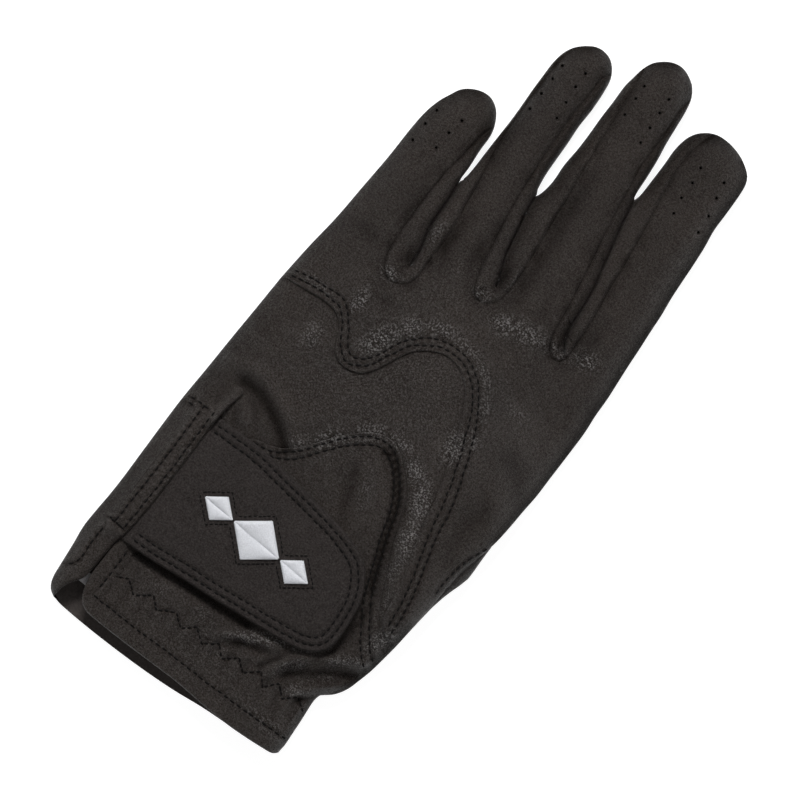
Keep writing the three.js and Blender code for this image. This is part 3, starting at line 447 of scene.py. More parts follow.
def top_base(P):
    """Height of the glove's back, without seams or panel steps."""
    P = np.asarray(P, float)
    d, edge, share = shoulder(P)
    l = lift(P)
    finger = smooth((P[:, 1] - 18) / 20)
    h = 4.3 + 0.9 * finger - 0.7 * l
    rise = 3.3 * share * (P[:, 1] > 12)
    z = 4.3 + 5.0 * l + rise + (h - rise) * edge
    soft = smooth(d / 9)
    hand = 1 - smooth((P[:, 1] - 20) / 14)
    z += soft * (0.22 * waves(P, WAVES) + hand * 0.5 * (1 - (P[:, 0] / 46) ** 2))
    z += smooth(d / 5) * 0.05 * waves(P, RIPPLES)
    for line, off, w in VALLEYS:
        dd = to_line(P - np.array([off, 0.0]), line, reach=6)[0]
        z -= 1.1 * gauss(dd, w) * smooth(share * 1.5)
    for line, amp, w, taper, end in FOLD_LINES:
        dd, s, _ = to_line(P, line, reach=3 * w + 1)
        z += amp * gauss(dd, w) * smooth(d / 3) * smooth(s / taper + 0.15) * smooth((end - s) / taper + 0.15)
    # gathers along the elastic
    g = gauss(P[:, 1] + 96.6 - 0.05 * P[:, 0], 5.0) * (P[:, 1] < -84) * smooth((P[:, 0] + 36) / 5)
    strong = 0.55 + 0.45 * smooth((P[:, 0] + 5) / 20)
    z += smooth(d / 3) * g * strong * (0.62 * np.sin(P[:, 0] * 2 * np.pi / 4.3 + 1.1 * np.sin(P[:, 0] * 0.37) + 0.12 * (P[:, 1] + 96)) - 0.5)
    return z


PALM_LINES = [(curve(q, 1.0), h, w) for q, h, w in (
    ([(-44, 12), (-30, 16), (-14, 14), (2, 18), (20, 21)], 0.35, 0.9),
    ([(-41, -6), (-26, 0), (-10, 1), (4, -4)], 0.3, 1.0),
    ([(-34, -30), (-22, -22), (-12, -8), (-2, 6)], 0.3, 1.1),
    ([(-42, 36), (-34, 37.5), (-27, 36.5)], 0.3, 0.7), ([(-41, 53), (-34, 54), (-27, 53)], 0.3, 0.7),
    ([(-19, 46), (-13, 47.5), (-7, 46.5)], 0.3, 0.7), ([(-21, 70), (-14, 71.5), (-8, 70.5)], 0.3, 0.7),
    ([(2, 48), (9, 49.5), (17, 48.5)], 0.3, 0.7), ([(0, 78), (7, 79), (15, 78)], 0.3, 0.7),
    ([(28, 46), (36, 47.5), (43, 46.5)], 0.3, 0.7), ([(23, 71), (32, 72.5), (41, 71.5)], 0.3, 0.7),
    ([(-42, -96), (-20, -95), (0, -96), (30, -95)], 0.25, 0.8))]


def palm_base(P):
    P = np.asarray(P, float)
    d, edge, share = shoulder(P, r_hand=5.5, r_finger=6.0, r_slit=1.0)
    l = lift(P)
    m = 4.3 + 5.0 * l + 3.3 * share * (P[:, 1] > 12)
    z = m - (m - 5.6 * l) * edge
    for line, amp, w in PALM_LINES:
        dd = to_line(P, line, reach=3 * w + 1)[0]
        z += amp * gauss(dd, w) * smooth((d - 2) / 4)
    z += smooth((d - 3) / 6) * 0.12 * waves(P, RIPPLES) * smooth(l * 4)
    return z


# ------------------------------------------------------------------ panels: height with seams, stitch grooves and edges
def row(points, step=0.5):
    return curve(points, step)


ROWS = {
    "w1a": row(W1_ROW1), "w1b": row(W1_ROW2), "w2a": row(W2_ROW1), "w2b": row(W2_ROW2), "thumb": row(THUMB_ROW),
    "hem": row(HEM_ROW), "wcol": row(WRIST_COLUMN), "colA": row(COLUMN_A), "colB": row(COLUMN_B), "colC": row(COLUMN_C),
    "tackA": row(TACK_A), "tackB": row(TACK_B), "tackC": row(TACK_C),
}
EDGE1 = curve(W1_EDGE, 0.7)
EDGE2 = curve(W2_EDGE, 0.7)
SLIT_WRIST = curve(WRIST_EDGE, 0.7)
SLIT_FACING = curve(FACING_EDGE, 0.7)
TAB_EDGE = curve(TAB_OUT, 0.7)
LEATHER_T = 0.62


def groove(P, line, depth, width, puff=0.0, reach=4.0):
    d, s, side = to_line(P, line, reach=reach)
    # the second value marks the groove for painted shade
    return -depth * gauss(d, width) + puff * gauss(d - 3.2 * width, 2.0 * width), gauss(d, width * 1.3)


def pucker(P, line, pitch=2.2):
    """Leather drawn in at each stitch: small mounds and dimples beside the row, with painted highlight on the mounds
    and painted shade in the dimples and beside the row.
    """
    d, s, side = to_line(P, line, reach=3)
    w = np.sin(2 * np.pi * s / pitch + 0.8 * side) * gauss(d - 0.75, 0.42)
    return 0.10 * w, -0.40 * w - 0.12 * gauss(d - 0.95, 0.4)


def knuckle_z(P):
    z = top_base(P)
    painted_shading = painted_fold_shading(P)
    droll = to_line(P, ROLL_LINE)[0]
    fade = smooth(droll / 2.5)
    for name, line in SEAM.items():
        d, s, side = to_line(P, line, reach=8)
        vary = 0.5 + 0.5 * np.sin(0.55 * P[:, 1] + 1.9 * np.sin(0.23 * P[:, 1] + P[:, 0] * 0.4))
        broad = np.where(side > 0, 0.55 * gauss(d, 0.8), 0.55 * gauss(d, 2.1))
        out = smooth((droll + 0.3) / 1.2)
        jag = 0.5 + 0.5 * np.sin(1.9 * s + 1.7 * np.sin(0.83 * s) + 0.9 * np.sin(3.1 * s))
        z -= (broad * (0.8 + 0.4 * vary) + (0.14 + 0.18 * vary + 0.16 * jag) * gauss(d, 0.36)) * out
        z += 0.06 * np.sin(2 * np.pi * s / 2.35) * gauss(d - 1.0, 0.75) * out
        tip = 1 - 0.4 * smooth((P[:, 1] - 58) / 20)
        # painted shade along the seams: a broad band on the finger-back side and a dark broken core on the line, with a
        # painted highlight strip just beside it
        painted_shading = painted_shading + 0.32 * tip * np.where(side > 0, gauss(d, 0.9), gauss(d, 2.3)) * (0.5 + vary)
        painted_shading = np.maximum(painted_shading, (0.38 + 0.22 * vary + 0.34 * jag) * tip * gauss(d + 0.25 * jag, 0.66))
        painted_shading = painted_shading - 0.14 * (1 - jag) * gauss(d - 1.1, 0.4)
    # painted shade in the valleys where two fingers lie against each other
    for line, off, w in VALLEYS:
        d = to_line(P - np.array([off, 0.0]), line, reach=6)[0]
        painted_shading = painted_shading + 0.42 * gauss(d, 0.9 * w)
    # painted shade in the pockets at the bottoms of the crotches
    for cx, cy, a, b in POCKETS:
        painted_shading = painted_shading + 0.40 * np.exp(-((P[:, 0] - cx) / a) ** 2 - ((P[:, 1] - cy) / b) ** 2)
    # small wrinkles round each crotch bottom, with painted highlight on their ridges and painted shade in their hollows
    for cx, cy in ((-21.6, 19.2), (2.2, 29.3), (28.7, 28.6)):
        r = np.hypot(P[:, 0] - cx, P[:, 1] - cy)
        a = np.arctan2(P[:, 1] - cy, P[:, 0] - cx)
        ring = np.sin(6 * a + 1.5 * r) * gauss(r - 1.9, 1.3) * smooth((droll + 0.3) / 1.0)
        z += 0.15 * ring
        painted_shading = painted_shading - 0.25 * ring
    # painted shade in the crotch tack's groove
    g, c = groove(P, resample(CROTCH_TACK, 0.5), 0.4, 0.3, 0.05)
    z += g
    painted_shading = np.maximum(painted_shading, 0.7 * c)
    # near its first wavy edge the knuckle panel stands one leather thickness higher, fading out between about 6.5 and
    # 14.5 mm from that edge
    d1 = to_line(P, EDGE1, reach=16)[0]
    step = LEATHER_T * (1 - smooth((d1 - 6.5) / 8)) * (0.35 + 0.65 * roll(d1 / 0.55))
    z += step * fade
    # painted shade in the stitch grooves and dimples, painted highlight on the mounds between them
    for k in ("w1a", "w1b"):
        g, c = groove(P, ROWS[k], 0.30, 0.42, 0.14)
        z += g * fade
        painted_shading = painted_shading + 0.22 * c
        g, c = pucker(P, ROWS[k])
        z += g * fade
        painted_shading = painted_shading + c
    # painted shade in the thumb row's groove
    g, c = groove(P, ROWS["thumb"], 0.28, 0.5, 0.1)
    z += g * fade
    painted_shading = painted_shading + 0.15 * c
    # each perforation is a dip painted near-black as painted shade, with a painted highlight on the ring round it
    for h in HOLES:
        r = np.hypot(P[:, 0] - h[0], P[:, 1] - h[1])
        z -= 0.10 * gauss(r, 0.8) + 1.0 * (r < 0.405)
        painted_shading = np.maximum(painted_shading, np.maximum(1.0 * (r < 0.405), 0.7 * gauss(r, 0.5))) - 0.25 * gauss(r - 0.85, 0.22)
    return z, painted_shading


def middle_z(P):
    z = top_base(P) - 0.12
    d = np.minimum(to_line(P, EDGE1, reach=4)[0], to_line(P, EDGE2, reach=4)[0])
    # painted shade along both wavy edges, where this panel passes under them
    return z, painted_fold_shading(P) + 0.3 * gauss(d, 0.7)


def wrist_z(P):
    z = top_base(P)
    painted_shading = painted_fold_shading(P)
    droll = to_line(P, ROLL_LINE)[0]
    fade = smooth(droll / 2.5)
    d2 = to_line(P, EDGE2, reach=16)[0]
    z += LEATHER_T * (1 - smooth((d2 - 6.5) / 8)) * (0.35 + 0.65 * roll(d2 / 0.55)) * fade
    ds = to_line(P, SLIT_WRIST, reach=12)[0]
    z += 0.30 * (1 - smooth((ds - 1.0) / 6)) * fade
    z -= 0.30 * (1 - roll(ds / 0.45)) * fade
    # painted shade in the stitch grooves and dimples, painted highlight on the mounds between them
    for k in ("w2a", "w2b", "hem", "wcol"):
        g, c = groove(P, ROWS[k], 0.30, 0.42, 0.14)
        z += g * fade
        painted_shading = painted_shading + 0.22 * c
        g, c = pucker(P, ROWS[k])
        z += g * fade
        painted_shading = painted_shading + c
    # painted shade in the zigzag's groove
    g, c = groove(P, ZZ, 0.26, 0.45, 0.10)
    z += g * fade
    painted_shading = painted_shading + 0.10 * c
    # the turned hem is double
    z += 0.25 * smooth((-104.3 - P[:, 1]) / 1.2) * fade
    # a groove beside the stitched column, with painted shade in it
    g, c = groove(P, curve([(-32.0, -88), (-31.9, -96), (-32.0, -104)], 0.5), 0.30, 0.35, 0.16)
    z += g
    painted_shading = np.maximum(painted_shading, 0.45 * c)
    return z, painted_shading


def facing_z(P):
    z = top_base(P)
    painted_shading = painted_fold_shading(P)
    droll = to_line(P, ROLL_LINE)[0]
    fade = smooth(droll / 4)
    ds = to_line(P, SLIT_FACING, reach=14)[0]
    at_tab = smooth((-39.5 - P[:, 1]) / 5) * smooth((P[:, 1] + 91) / 5)
    top = smooth((-36.0 - P[:, 1]) / 5)
    up = 0.55 * top + 1.65 * at_tab
    z += up * (1 - smooth((ds - 3.5) / 6)) * fade * top
    z -= 0.25 * (1 - roll(ds / 0.5)) * fade * top
    # painted shade along the slit's edge
    painted_shading = painted_shading + 0.55 * gauss(ds, 0.7) * top
    z += 0.03
    # raised point at the top end of the slit
    dp = to_line(P, np.array([(-36.3, -34.6), (-36.9, -40.0), (-37.2, -46.0)]))[0]
    z += 1.8 * gauss(dp, 1.4)
    # painted highlight on the raised point
    painted_shading = painted_shading - 0.25 * gauss(dp, 1.1)
    # painted shade in the stitch grooves and dimples, painted highlight on the mounds between them
    for k in ("colA", "colB", "colC", "tackA", "tackB", "tackC"):
        g, c = groove(P, ROWS[k], 0.30, 0.42, 0.14)
        z += g * smooth(droll / 1.5)
        painted_shading = painted_shading + 0.22 * c
        g, c = pucker(P, ROWS[k])
        z += g * smooth(droll / 1.5)
        painted_shading = painted_shading + c
    return z, painted_shading


def palm_z(P):
    z = palm_base(P)
    painted_shading = np.zeros(len(P))
    # painted shade in the palm creases
    for line, amp, w in PALM_LINES:
        painted_shading += 0.8 * amp * gauss(to_line(P, line, reach=3 * w + 1)[0], w)
    di = np.full(len(P), 1e9)
    for a, b in INNER_SIDES:
        di = np.minimum(di, to_line(P, OUTLINE[a:b], reach=8)[0])
    up = 0.55 * gauss(di - 2.4, 0.42) - 0.0
    z += up
    # painted shade along the fingers' inner sides
    painted_shading = np.maximum(painted_shading, gauss(di - 2.4, 0.5))
    return z, painted_shading


def flat_under_tab(P):
    """The back below the tab, without its small folds."""
    d = to_line(P, ROLL_LINE)[0]
    return mid_height(P) + (4.3 - 0.7 * lift(P)) * roll(d / 6.0) + 0.5 * (1 - (P[:, 0] / 46) ** 2) + 0.22 * waves(P, WAVES)


TAB_ROWS = {}


def tab_low(P):
    x = P[:, 0]
    root = smooth((x + 38.5) / 8)
    end = smooth((x - 8) / 20)
    return flat_under_tab(P) + 0.15 + 0.95 * root + 0.5 * end


def tab_z(P):
    x = P[:, 0]
    root = smooth((x + 38.5) / 8)
    d = to_line(P, TAB_EDGE)[0]
    thick = 0.8 + 0.85 * root
    z = tab_low(P) + 0.25 + (thick - 0.25) * roll(d / 0.9)
    painted_shading = np.zeros(len(P))
    z += 0.14 * smooth((d - 4.2) / 4) * 1.0
    # painted shade in the stitch grooves and dimples
    for line in TAB_ROWS.values():
        g, c = groove(P, line, 0.34, 0.46, 0.13)
        z += g
        painted_shading = np.maximum(painted_shading, 0.45 * c)
        g, c = pucker(P, line)
        z += g
        painted_shading = painted_shading + c
    # painted shadow of the facing's edge along the tab's left border
    painted_shading = painted_shading + 0.9 * gauss(x + 36.0, 0.95) * smooth((P[:, 1] + 87) / 2) * (1 - smooth((P[:, 1] + 46) / 2))
    # slight pucker round the embroidery
    m = np.hypot((P[:, 0] + 7) / 20.5, (P[:, 1] + 64.6) / 8.2)
    z += -0.22 * gauss(m - 1.08, 0.12) + 0.06 * waves(P, RIPPLES)
    return z, painted_shading


# ------------------------------------------------------------------ meshing of a plan region
def mesh_region(boundary, lines=(), rings=(), points=(), cell=None, extra=()):
    """Triangles over a plan region. lines: kept as edges. rings: (line, offsets) of points beside a line."""
    cell = cell or CELL
    boundary = np.asarray(boundary, float)
    pts = [boundary]
    edges = []
    n = len(boundary)
    edges += [(i, (i + 1) % n) for i in range(n)]
    count = n
    closed = np.vstack([boundary, boundary[:1]])
    for line in lines:
        pts.append(line)
        edges += [(count + i, count + i + 1) for i in range(len(line) - 1)]
        count += len(line)
    free = []
    for line, offsets in rings:
        for o in offsets:
            q = shift_line(line, o)
            d = to_line(q, line)[0]
            q = q[d > abs(o) * 0.93 - 1e-6]
            free.append((q, max(0.08, min(abs(o) * 0.5, 0.5))))
    for q in points:
        free.append((np.asarray(q, float), 0.05))
    lo, hi = boundary.min(0), boundary.max(0)
    gx = np.arange(lo[0], hi[0], cell)
    gy = np.arange(lo[1], hi[1], cell * 0.866)
    G = np.array([(x + (0.5 * cell if j % 2 else 0), y) for j, y in enumerate(gy) for x in gx])
    jitter = np.random.default_rng(3).uniform(-0.12, 0.12, G.shape) * cell
    free.append((G + jitter, cell * 0.55))
    # keep points inside, and apart from earlier ones
    size = 0.5
    table = {}

    def near(p, r):
        k = int(r / size) + 1
        cx, cy = int(math.floor(p[0] / size)), int(math.floor(p[1] / size))
        rr = r * r
        for ix in range(cx - k, cx + k + 1):
            for iy in range(cy - k, cy + k + 1):
                for q in table.get((ix, iy), ()):
                    if (q[0] - p[0]) ** 2 + (q[1] - p[1]) ** 2 < rr:
                        return True
        return False

    def put(p):
        table.setdefault((int(math.floor(p[0] / size)), int(math.floor(p[1] / size))), []).append((p[0], p[1]))

    for q in pts:
        for p in q:
            put(p)
    keep = []
    for q, r in free:
        if len(q) == 0:
            continue
        ok = inside(q, boundary)
        q = q[ok]
        if len(q) == 0:
            continue
        dist = to_line(q, closed)[0]
        q = q[dist > 0.02]
        for p in q:
            if not near(p, r):
                put(p)
                keep.append((p[0], p[1]))
    allp = [tuple(map(float, p)) for q in pts for p in q] + keep
    res = delaunay_2d_cdt([Vector(p) for p in allp], edges, [], 1, 1e-6)
    V = np.array([tuple(v) for v in res[0]], float)
    F = np.array([tuple(f) for f in res[2]], int)
    c = V[F].mean(1)
    F = F[inside(c, boundary)]
    a, b, cc = V[F[:, 0]], V[F[:, 1]], V[F[:, 2]]
    area = (b[:, 0] - a[:, 0]) * (cc[:, 1] - a[:, 1]) - (b[:, 1] - a[:, 1]) * (cc[:, 0] - a[:, 0])
    F[area < 0] = F[area < 0][:, ::-1]
    F = F[np.abs(area) > 1e-9]
    used = np.unique(F)
    remap = -np.ones(len(V), int)
    remap[used] = np.arange(len(used))
    return V[used], remap[F]


def boundary_edges(F):
    seen = {}
    for f in F:
        for i in range(3):
            e = (int(f[i]), int(f[(i + 1) % 3]))
            seen[e] = True
    return [e for e in seen if (e[1], e[0]) not in seen]


def vertex_normals(V, F):
    n = np.zeros_like(V)
    a, b, c = V[F[:, 0]], V[F[:, 1]], V[F[:, 2]]
    fn = np.cross(b - a, c - a)
    ln = np.maximum(np.linalg.norm(fn, axis=1), 1e-12)
    u = fn / ln[:, None]
    for i, (p, q, r) in enumerate(((a, b, c), (b, c, a), (c, a, b))):
        e1 = q - p
        e2 = r - p
        cosv = (e1 * e2).sum(1) / np.maximum(np.linalg.norm(e1, axis=1) * np.linalg.norm(e2, axis=1), 1e-12)
        ang = np.arccos(np.clip(cosv, -1, 1))
        np.add.at(n, F[:, i], u * ang[:, None])
    return n


# ------------------------------------------------------------------ building objects
def make_object(name, V, F, normals=None, attrs=None, mat=None, smooth_shade=True):
    """V in plan millimetres."""
    W = np.array(V, float)
    W[:, 0] += SHIFT[0]
    W[:, 1] += SHIFT[1]
    W *= MM
    me = bpy.data.meshes.new(name)
    me.from_pydata(W.tolist(), [], [tuple(map(int, f)) for f in F])
    me.update()
    if attrs:
        for k, v in attrs.items():
            a = me.attributes.new(k, "FLOAT", "POINT")
            a.data.foreach_set("value", np.asarray(v, np.float32))
    if smooth_shade:
        me.polygons.foreach_set("use_smooth", np.ones(len(me.polygons), bool))
    if normals is not None:
        me.normals_split_custom_set_from_vertices([tuple(x) for x in normals])
    ob = bpy.data.objects.new(name, me)
    bpy.context.scene.collection.objects.link(ob)
    if mat is not None:
        me.materials.append(mat)
    return ob


class Part:
    """Triangles in 3-D with a painted shading value per vertex: painted shade in creases, seams, grooves and under
    edges, painted highlight on ridges where it is negative.
    """

    def __init__(self, V, F, painted_shading):
        self.V, self.F, self.painted_shading = np.asarray(V, float), np.asarray(F, int), np.asarray(painted_shading, float)


# Polished places, where the grain tips also get painted pale glints: centre, half axes, angle, strength.
SHINE = [(0.6, 28.6, 2.6, 2.0, 0, 1.1), (11.5, 25.6, 3.8, 2.6, 15, 1.0), (18, 27.6, 6.0, 2.8, 12, 0.8), (27, 28.6, 5.0, 2.2, 5, 0.75),
         (35.6, 31.6, 3.4, 2.4, 20, 1.1), (-23, 17.4, 2.8, 1.9, 0, 1.15), (-25, 7, 2.2, 4.4, 0, 0.8), (-13.6, 1.2, 3.0, 6.0, -25, 1.1),
         (-8.5, 9.2, 3.4, 2.8, 40, 0.9), (-2, 13.6, 4.5, 2.2, 20, 0.9), (7, 14.2, 5, 1.8, 0, 0.6), (15, 11.2, 5, 1.8, -30, 0.55),
         (21.2, 3.5, 5, 1.8, -60, 0.5), (24.2, -5, 4, 1.8, -75, 0.6), (21.2, -10, 3.2, 5.2, 10, 0.9), (-30, -9.6, 3.2, 3.6, 0, 0.6),
         (-37, 2.6, 6, 1.8, 0, 0.5), (-19.6, 34.5, 1.6, 5, 0, 0.45), (-8, 30, 3, 3, 0, 0.2), (29.5, 8, 4, 2, 0, 0.3),
         (6.2, 36.5, 1.3, 5, 0, 0.35), (-14.5, -36, 4, 2.4, 40, 0.5), (-7.5, -29.4, 5.2, 2.4, 48, 1.15), (0, -21.4, 4.6, 2.4, 42, 1.0),
         (8, -18.4, 4.5, 2.0, 5, 0.8), (16.5, -22.2, 4.5, 2.3, -42, 1.0), (23.0, -28, 5.8, 2.7, -65, 1.05), (26.4, -38, 6.2, 2.4, -72, 1.0),
         (28.6, -48, 5, 1.8, -78, 0.5), (37.6, -66, 2.0, 5, -15, 0.9), (33, -58, 2, 6, 10, 0.4), (9, -35, 2.4, 8, 18, 0.3),
         (23.5, -78.6, 6, 1.6, 40, 0.9), (13.5, -84.2, 6, 1.6, 28, 0.8), (8, -88, 6, 1.9, 30, 0.9), (22, -88, 6, 1.9, 50, 0.8),
         (30.5, -84, 6, 1.7, 42, 0.6), (33, -77, 5, 1.5, 38, 0.7), (27, -92, 4, 2, 40, 0.6), (26, -104, 8, 2, 0, 0.4),
         (-20, -92, 4, 3, 0, 0.25), (-6, -91, 4, 3, 0, 0.25), (-36, -62, 2.4, 26, 0, 0.25), (-6, -10, 36, 46, 0, 0.15), (0, -98, 44, 14, 0, 0.14)]


def edge_shade_and_shine(V, N):
    P = np.asarray(V, float)[:, :2]
    N = np.asarray(N, float)
    d, s, _ = to_line(P, ROLL_LINE)
    free = 1 - np.interp(s, ROLL_ARC, SLIT_SHARE)
    # painted edge shade: the leather is painted darker, with its reflection turned down, near the outline and on slopes
    # that face the key light
    lean = np.clip(-0.61 * N[:, 0] + 0.79 * N[:, 1], 0, 1) / np.maximum(np.linalg.norm(N, axis=1), 1e-9)
    near = (1 - smooth(d / 4.2)) * np.where((N[:, 0] > 0) & (P[:, 0] > 36), 1.0, 0.62)
    painted_edge_shade = np.clip(np.maximum(near, 1.3 * lean * (1 - smooth((d - 1) / 9))), 0, 1) * free
    # where the thumb joins, the hand's outline is no outline: only the thumb's root is
    joint = smooth((P[:, 1] + 60) / 5) * (1 - smooth((P[:, 1] + 29) / 5)) * (P[:, 0] > 36)
    painted_edge_shade = painted_edge_shade * (1 - 0.75 * joint)
    beyond = (P[:, 0] > 40) & (P[:, 1] > -61) & (P[:, 1] < -24) & ~inside(P, WHOLE)
    side = N[:, 0] / np.maximum(np.linalg.norm(N, axis=1), 1e-9)
    painted_edge_shade = np.where(beyond, np.maximum(painted_edge_shade, smooth((side - 0.3) / 0.45)), painted_edge_shade)
    sh = np.zeros(len(P))
    for x, y, a, b, ang, much in SHINE:
        c, s = math.cos(math.radians(ang)), math.sin(math.radians(ang))
        u = (P[:, 0] - x) * c + (P[:, 1] - y) * s
        v = -(P[:, 0] - x) * s + (P[:, 1] - y) * c
        sh = np.maximum(sh, much * np.exp(-(u / a) ** 2 - (v / b) ** 2))
    sh = np.where(N[:, 2] > 0, sh, 0.35 * sh)
    return {"painted_edge_shade": painted_edge_shade, "shine": sh}


def lay(region, height, flip=False):
    V2, F = region
    z, painted_shading = height(V2)
    V = np.column_stack([V2, z])
    return Part(V, F[:, ::-1] if flip else F, painted_shading)


def pick(part, mask):
    F = part.F[mask]
    used = np.unique(F)
    remap = -np.ones(len(part.V), int)
    remap[used] = np.arange(len(used))
    q = Part(part.V[used], remap[F], part.painted_shading[used])
    q.src = used
    return q


def edge_wall(part, normals, test, depth):
    """Adds the cut edge of the leather along the boundary edges that pass the test: a wall going down, with its own vertices."""
    V = [tuple(v) for v in part.V]
    N = [tuple(n) for n in normals]
    faces = [tuple(f) for f in part.F]
    painted_shading = list(part.painted_shading)
    be = [e for e in boundary_edges(part.F) if test(part.V[e[0]]) and test(part.V[e[1]])]
    out = {}
    for a, b in be:
        d = part.V[b][:2] - part.V[a][:2]
        l = max(np.hypot(*d), 1e-9)
        nrm = np.array([d[1] / l, -d[0] / l])
        for i in (a, b):
            out.setdefault(i, np.zeros(2))
            out[i] += nrm
    made = {}
    for i, nrm in out.items():
        l = max(np.hypot(*nrm), 1e-9)
        nn = nrm / l
        p = part.V[i]
        dd = depth(p) if callable(depth) else depth
        ids = []
        for k, (o, dz) in enumerate(((0.0, 0.0), (0.09, -0.13 * dd), (0.11, -0.5 * dd), (0.02, -dd))):
            V.append((p[0] + nn[0] * o, p[1] + nn[1] * o, p[2] + dz))
            up = (0.75, 0.35, 0.0, -0.2)[k] * (1 if dd > 0 else -1)
            v = np.array([nn[0], nn[1], up])
            v /= np.linalg.norm(v)
            N.append(tuple(v))
            # painted highlight near the top of the cut edge, painted shade at its foot
            painted_shading.append((0.0, -0.4, -0.2, 0.6)[k])
            ids.append(len(V) - 1)
        made[i] = ids
    for a, b in be:
        A, B = made[a], made[b]
        for k in range(3):
            faces.append((A[k], A[k + 1], B[k + 1]))
            faces.append((A[k], B[k + 1], B[k]))
    return np.array(V), faces, np.array(N), np.array(painted_shading)


# ------------------------------------------------------------------ materials
def leather_material(name, base, grain=1.0, rough=0.52, spec=0.35, cell=2.3, tone=0.16):
    m = bpy.data.materials.new(name)
    m.use_nodes = True
    nt = m.node_tree
    nt.nodes.clear()
    N, L = nt.nodes.new, nt.links.new
    out = N("ShaderNodeOutputMaterial")
    b = N("ShaderNodeBsdfPrincipled")
    L(b.outputs["BSDF"], out.inputs["Surface"])
    tc = N("ShaderNodeTexCoord")
    mm = N("ShaderNodeVectorMath")
    mm.operation = "SCALE"
    mm.inputs["Scale"].default_value = 1000.0
    L(tc.outputs["Object"], mm.inputs[0])
    P = mm.outputs["Vector"]
    # pebbled grain
    warp = N("ShaderNodeTexNoise")
    warp.inputs["Scale"].default_value = 0.9
    warp.inputs["Detail"].default_value = 2
    L(P, warp.inputs["Vector"])
    wv = N("ShaderNodeVectorMath")
    wv.operation = "MULTIPLY_ADD"
    L(warp.outputs["Color"], wv.inputs[0])
    wv.inputs[1].default_value = (0.7, 0.7, 0.7)
    L(P, wv.inputs[2])
    vor = N("ShaderNodeTexVoronoi")
    vor.feature = "DISTANCE_TO_EDGE"
    vor.inputs["Scale"].default_value = cell
    L(wv.outputs["Vector"], vor.inputs["Vector"])
    vr = N("ShaderNodeMapRange")
    vr.inputs["From Max"].default_value = 0.16
    vr.interpolation_type = "SMOOTHSTEP"
    L(vor.outputs["Distance"], vr.inputs["Value"])
    fine = N("ShaderNodeTexNoise")
    fine.inputs["Scale"].default_value = 5.5
    fine.inputs["Detail"].default_value = 3
    fine.inputs["Roughness"].default_value = 0.62
    L(P, fine.inputs["Vector"])
    speck = N("ShaderNodeTexNoise")
    speck.inputs["Scale"].default_value = 1.9
    speck.inputs["Detail"].default_value = 3
    speck.inputs["Roughness"].default_value = 0.85
    L(P, speck.inputs["Vector"])
    crease = N("ShaderNodeTexNoise")
    crease.inputs["Scale"].default_value = 0.32
    crease.inputs["Detail"].default_value = 5
    crease.inputs["Roughness"].default_value = 0.6
    L(P, crease.inputs["Vector"])
    h0 = N("ShaderNodeMath")
    h0.operation = "MULTIPLY_ADD"
    L(speck.outputs["Fac"], h0.inputs[0])
    h0.inputs[1].default_value = 2.4
    L(fine.outputs["Fac"], h0.inputs[2])
    h1 = N("ShaderNodeMath")
    h1.operation = "MULTIPLY_ADD"
    L(vr.outputs["Result"], h1.inputs[0])
    h1.inputs[1].default_value = 0.6
    L(h0.outputs["Value"], h1.inputs[2])
    shine = N("ShaderNodeAttribute")
    shine.attribute_name = "shine"
    peb = N("ShaderNodeMath")                 # the grain stands out more where the leather is stretched and polished
    peb.operation = "MULTIPLY_ADD"
    L(shine.outputs["Fac"], peb.inputs[0])
    peb.inputs[1].default_value = 0.9
    peb.inputs[2].default_value = 0.85
    h2 = N("ShaderNodeMath")
    h2.operation = "MULTIPLY"
    L(h1.outputs["Value"], h2.inputs[0])
    L(peb.outputs["Value"], h2.inputs[1])
    bump = N("ShaderNodeBump")
    bump.inputs["Strength"].default_value = 1.0
    bump.inputs["Distance"].default_value = 0.00011 * grain
    L(h2.outputs["Value"], bump.inputs["Height"])
    bump2 = N("ShaderNodeBump")
    bump2.inputs["Strength"].default_value = 1.0
    bump2.inputs["Distance"].default_value = 0.00055
    L(crease.outputs["Fac"], bump2.inputs["Height"])
    L(bump.outputs["Normal"], bump2.inputs["Normal"])
    L(bump2.outputs["Normal"], b.inputs["Normal"])
    # colour: broad tone changes, pores, painted shade in seams and creases, painted highlight on ridges
    broad = N("ShaderNodeTexNoise")
    broad.inputs["Scale"].default_value = 0.06
    broad.inputs["Detail"].default_value = 4
    L(P, broad.inputs["Vector"])
    c1 = N("ShaderNodeMapRange")
    c1.inputs["From Min"].default_value = 0.3
    c1.inputs["From Max"].default_value = 0.7
    c1.inputs["To Min"].default_value = 1 - tone
    c1.inputs["To Max"].default_value = 1 + tone
    L(broad.outputs["Fac"], c1.inputs["Value"])
    c2 = N("ShaderNodeMapRange")
    c2.inputs["From Min"].default_value = 0.32
    c2.inputs["From Max"].default_value = 0.68
    c2.inputs["To Min"].default_value = 0.50
    c2.inputs["To Max"].default_value = 1.50
    L(speck.outputs["Fac"], c2.inputs["Value"])
    cc = N("ShaderNodeMath")
    cc.operation = "MULTIPLY"
    L(c1.outputs["Result"], cc.inputs[0])
    L(c2.outputs["Result"], cc.inputs[1])
    # painted shading: the colour is darkened in creases, seams, grooves and under edges and lightened on ridges
    at = N("ShaderNodeAttribute")
    at.attribute_name = "painted_shading"
    ca = N("ShaderNodeMapRange")
    ca.inputs["From Min"].default_value = -0.5
    ca.inputs["From Max"].default_value = 1.0
    ca.inputs["To Min"].default_value = 1.45
    ca.inputs["To Max"].default_value = 0.25
    L(at.outputs["Fac"], ca.inputs["Value"])
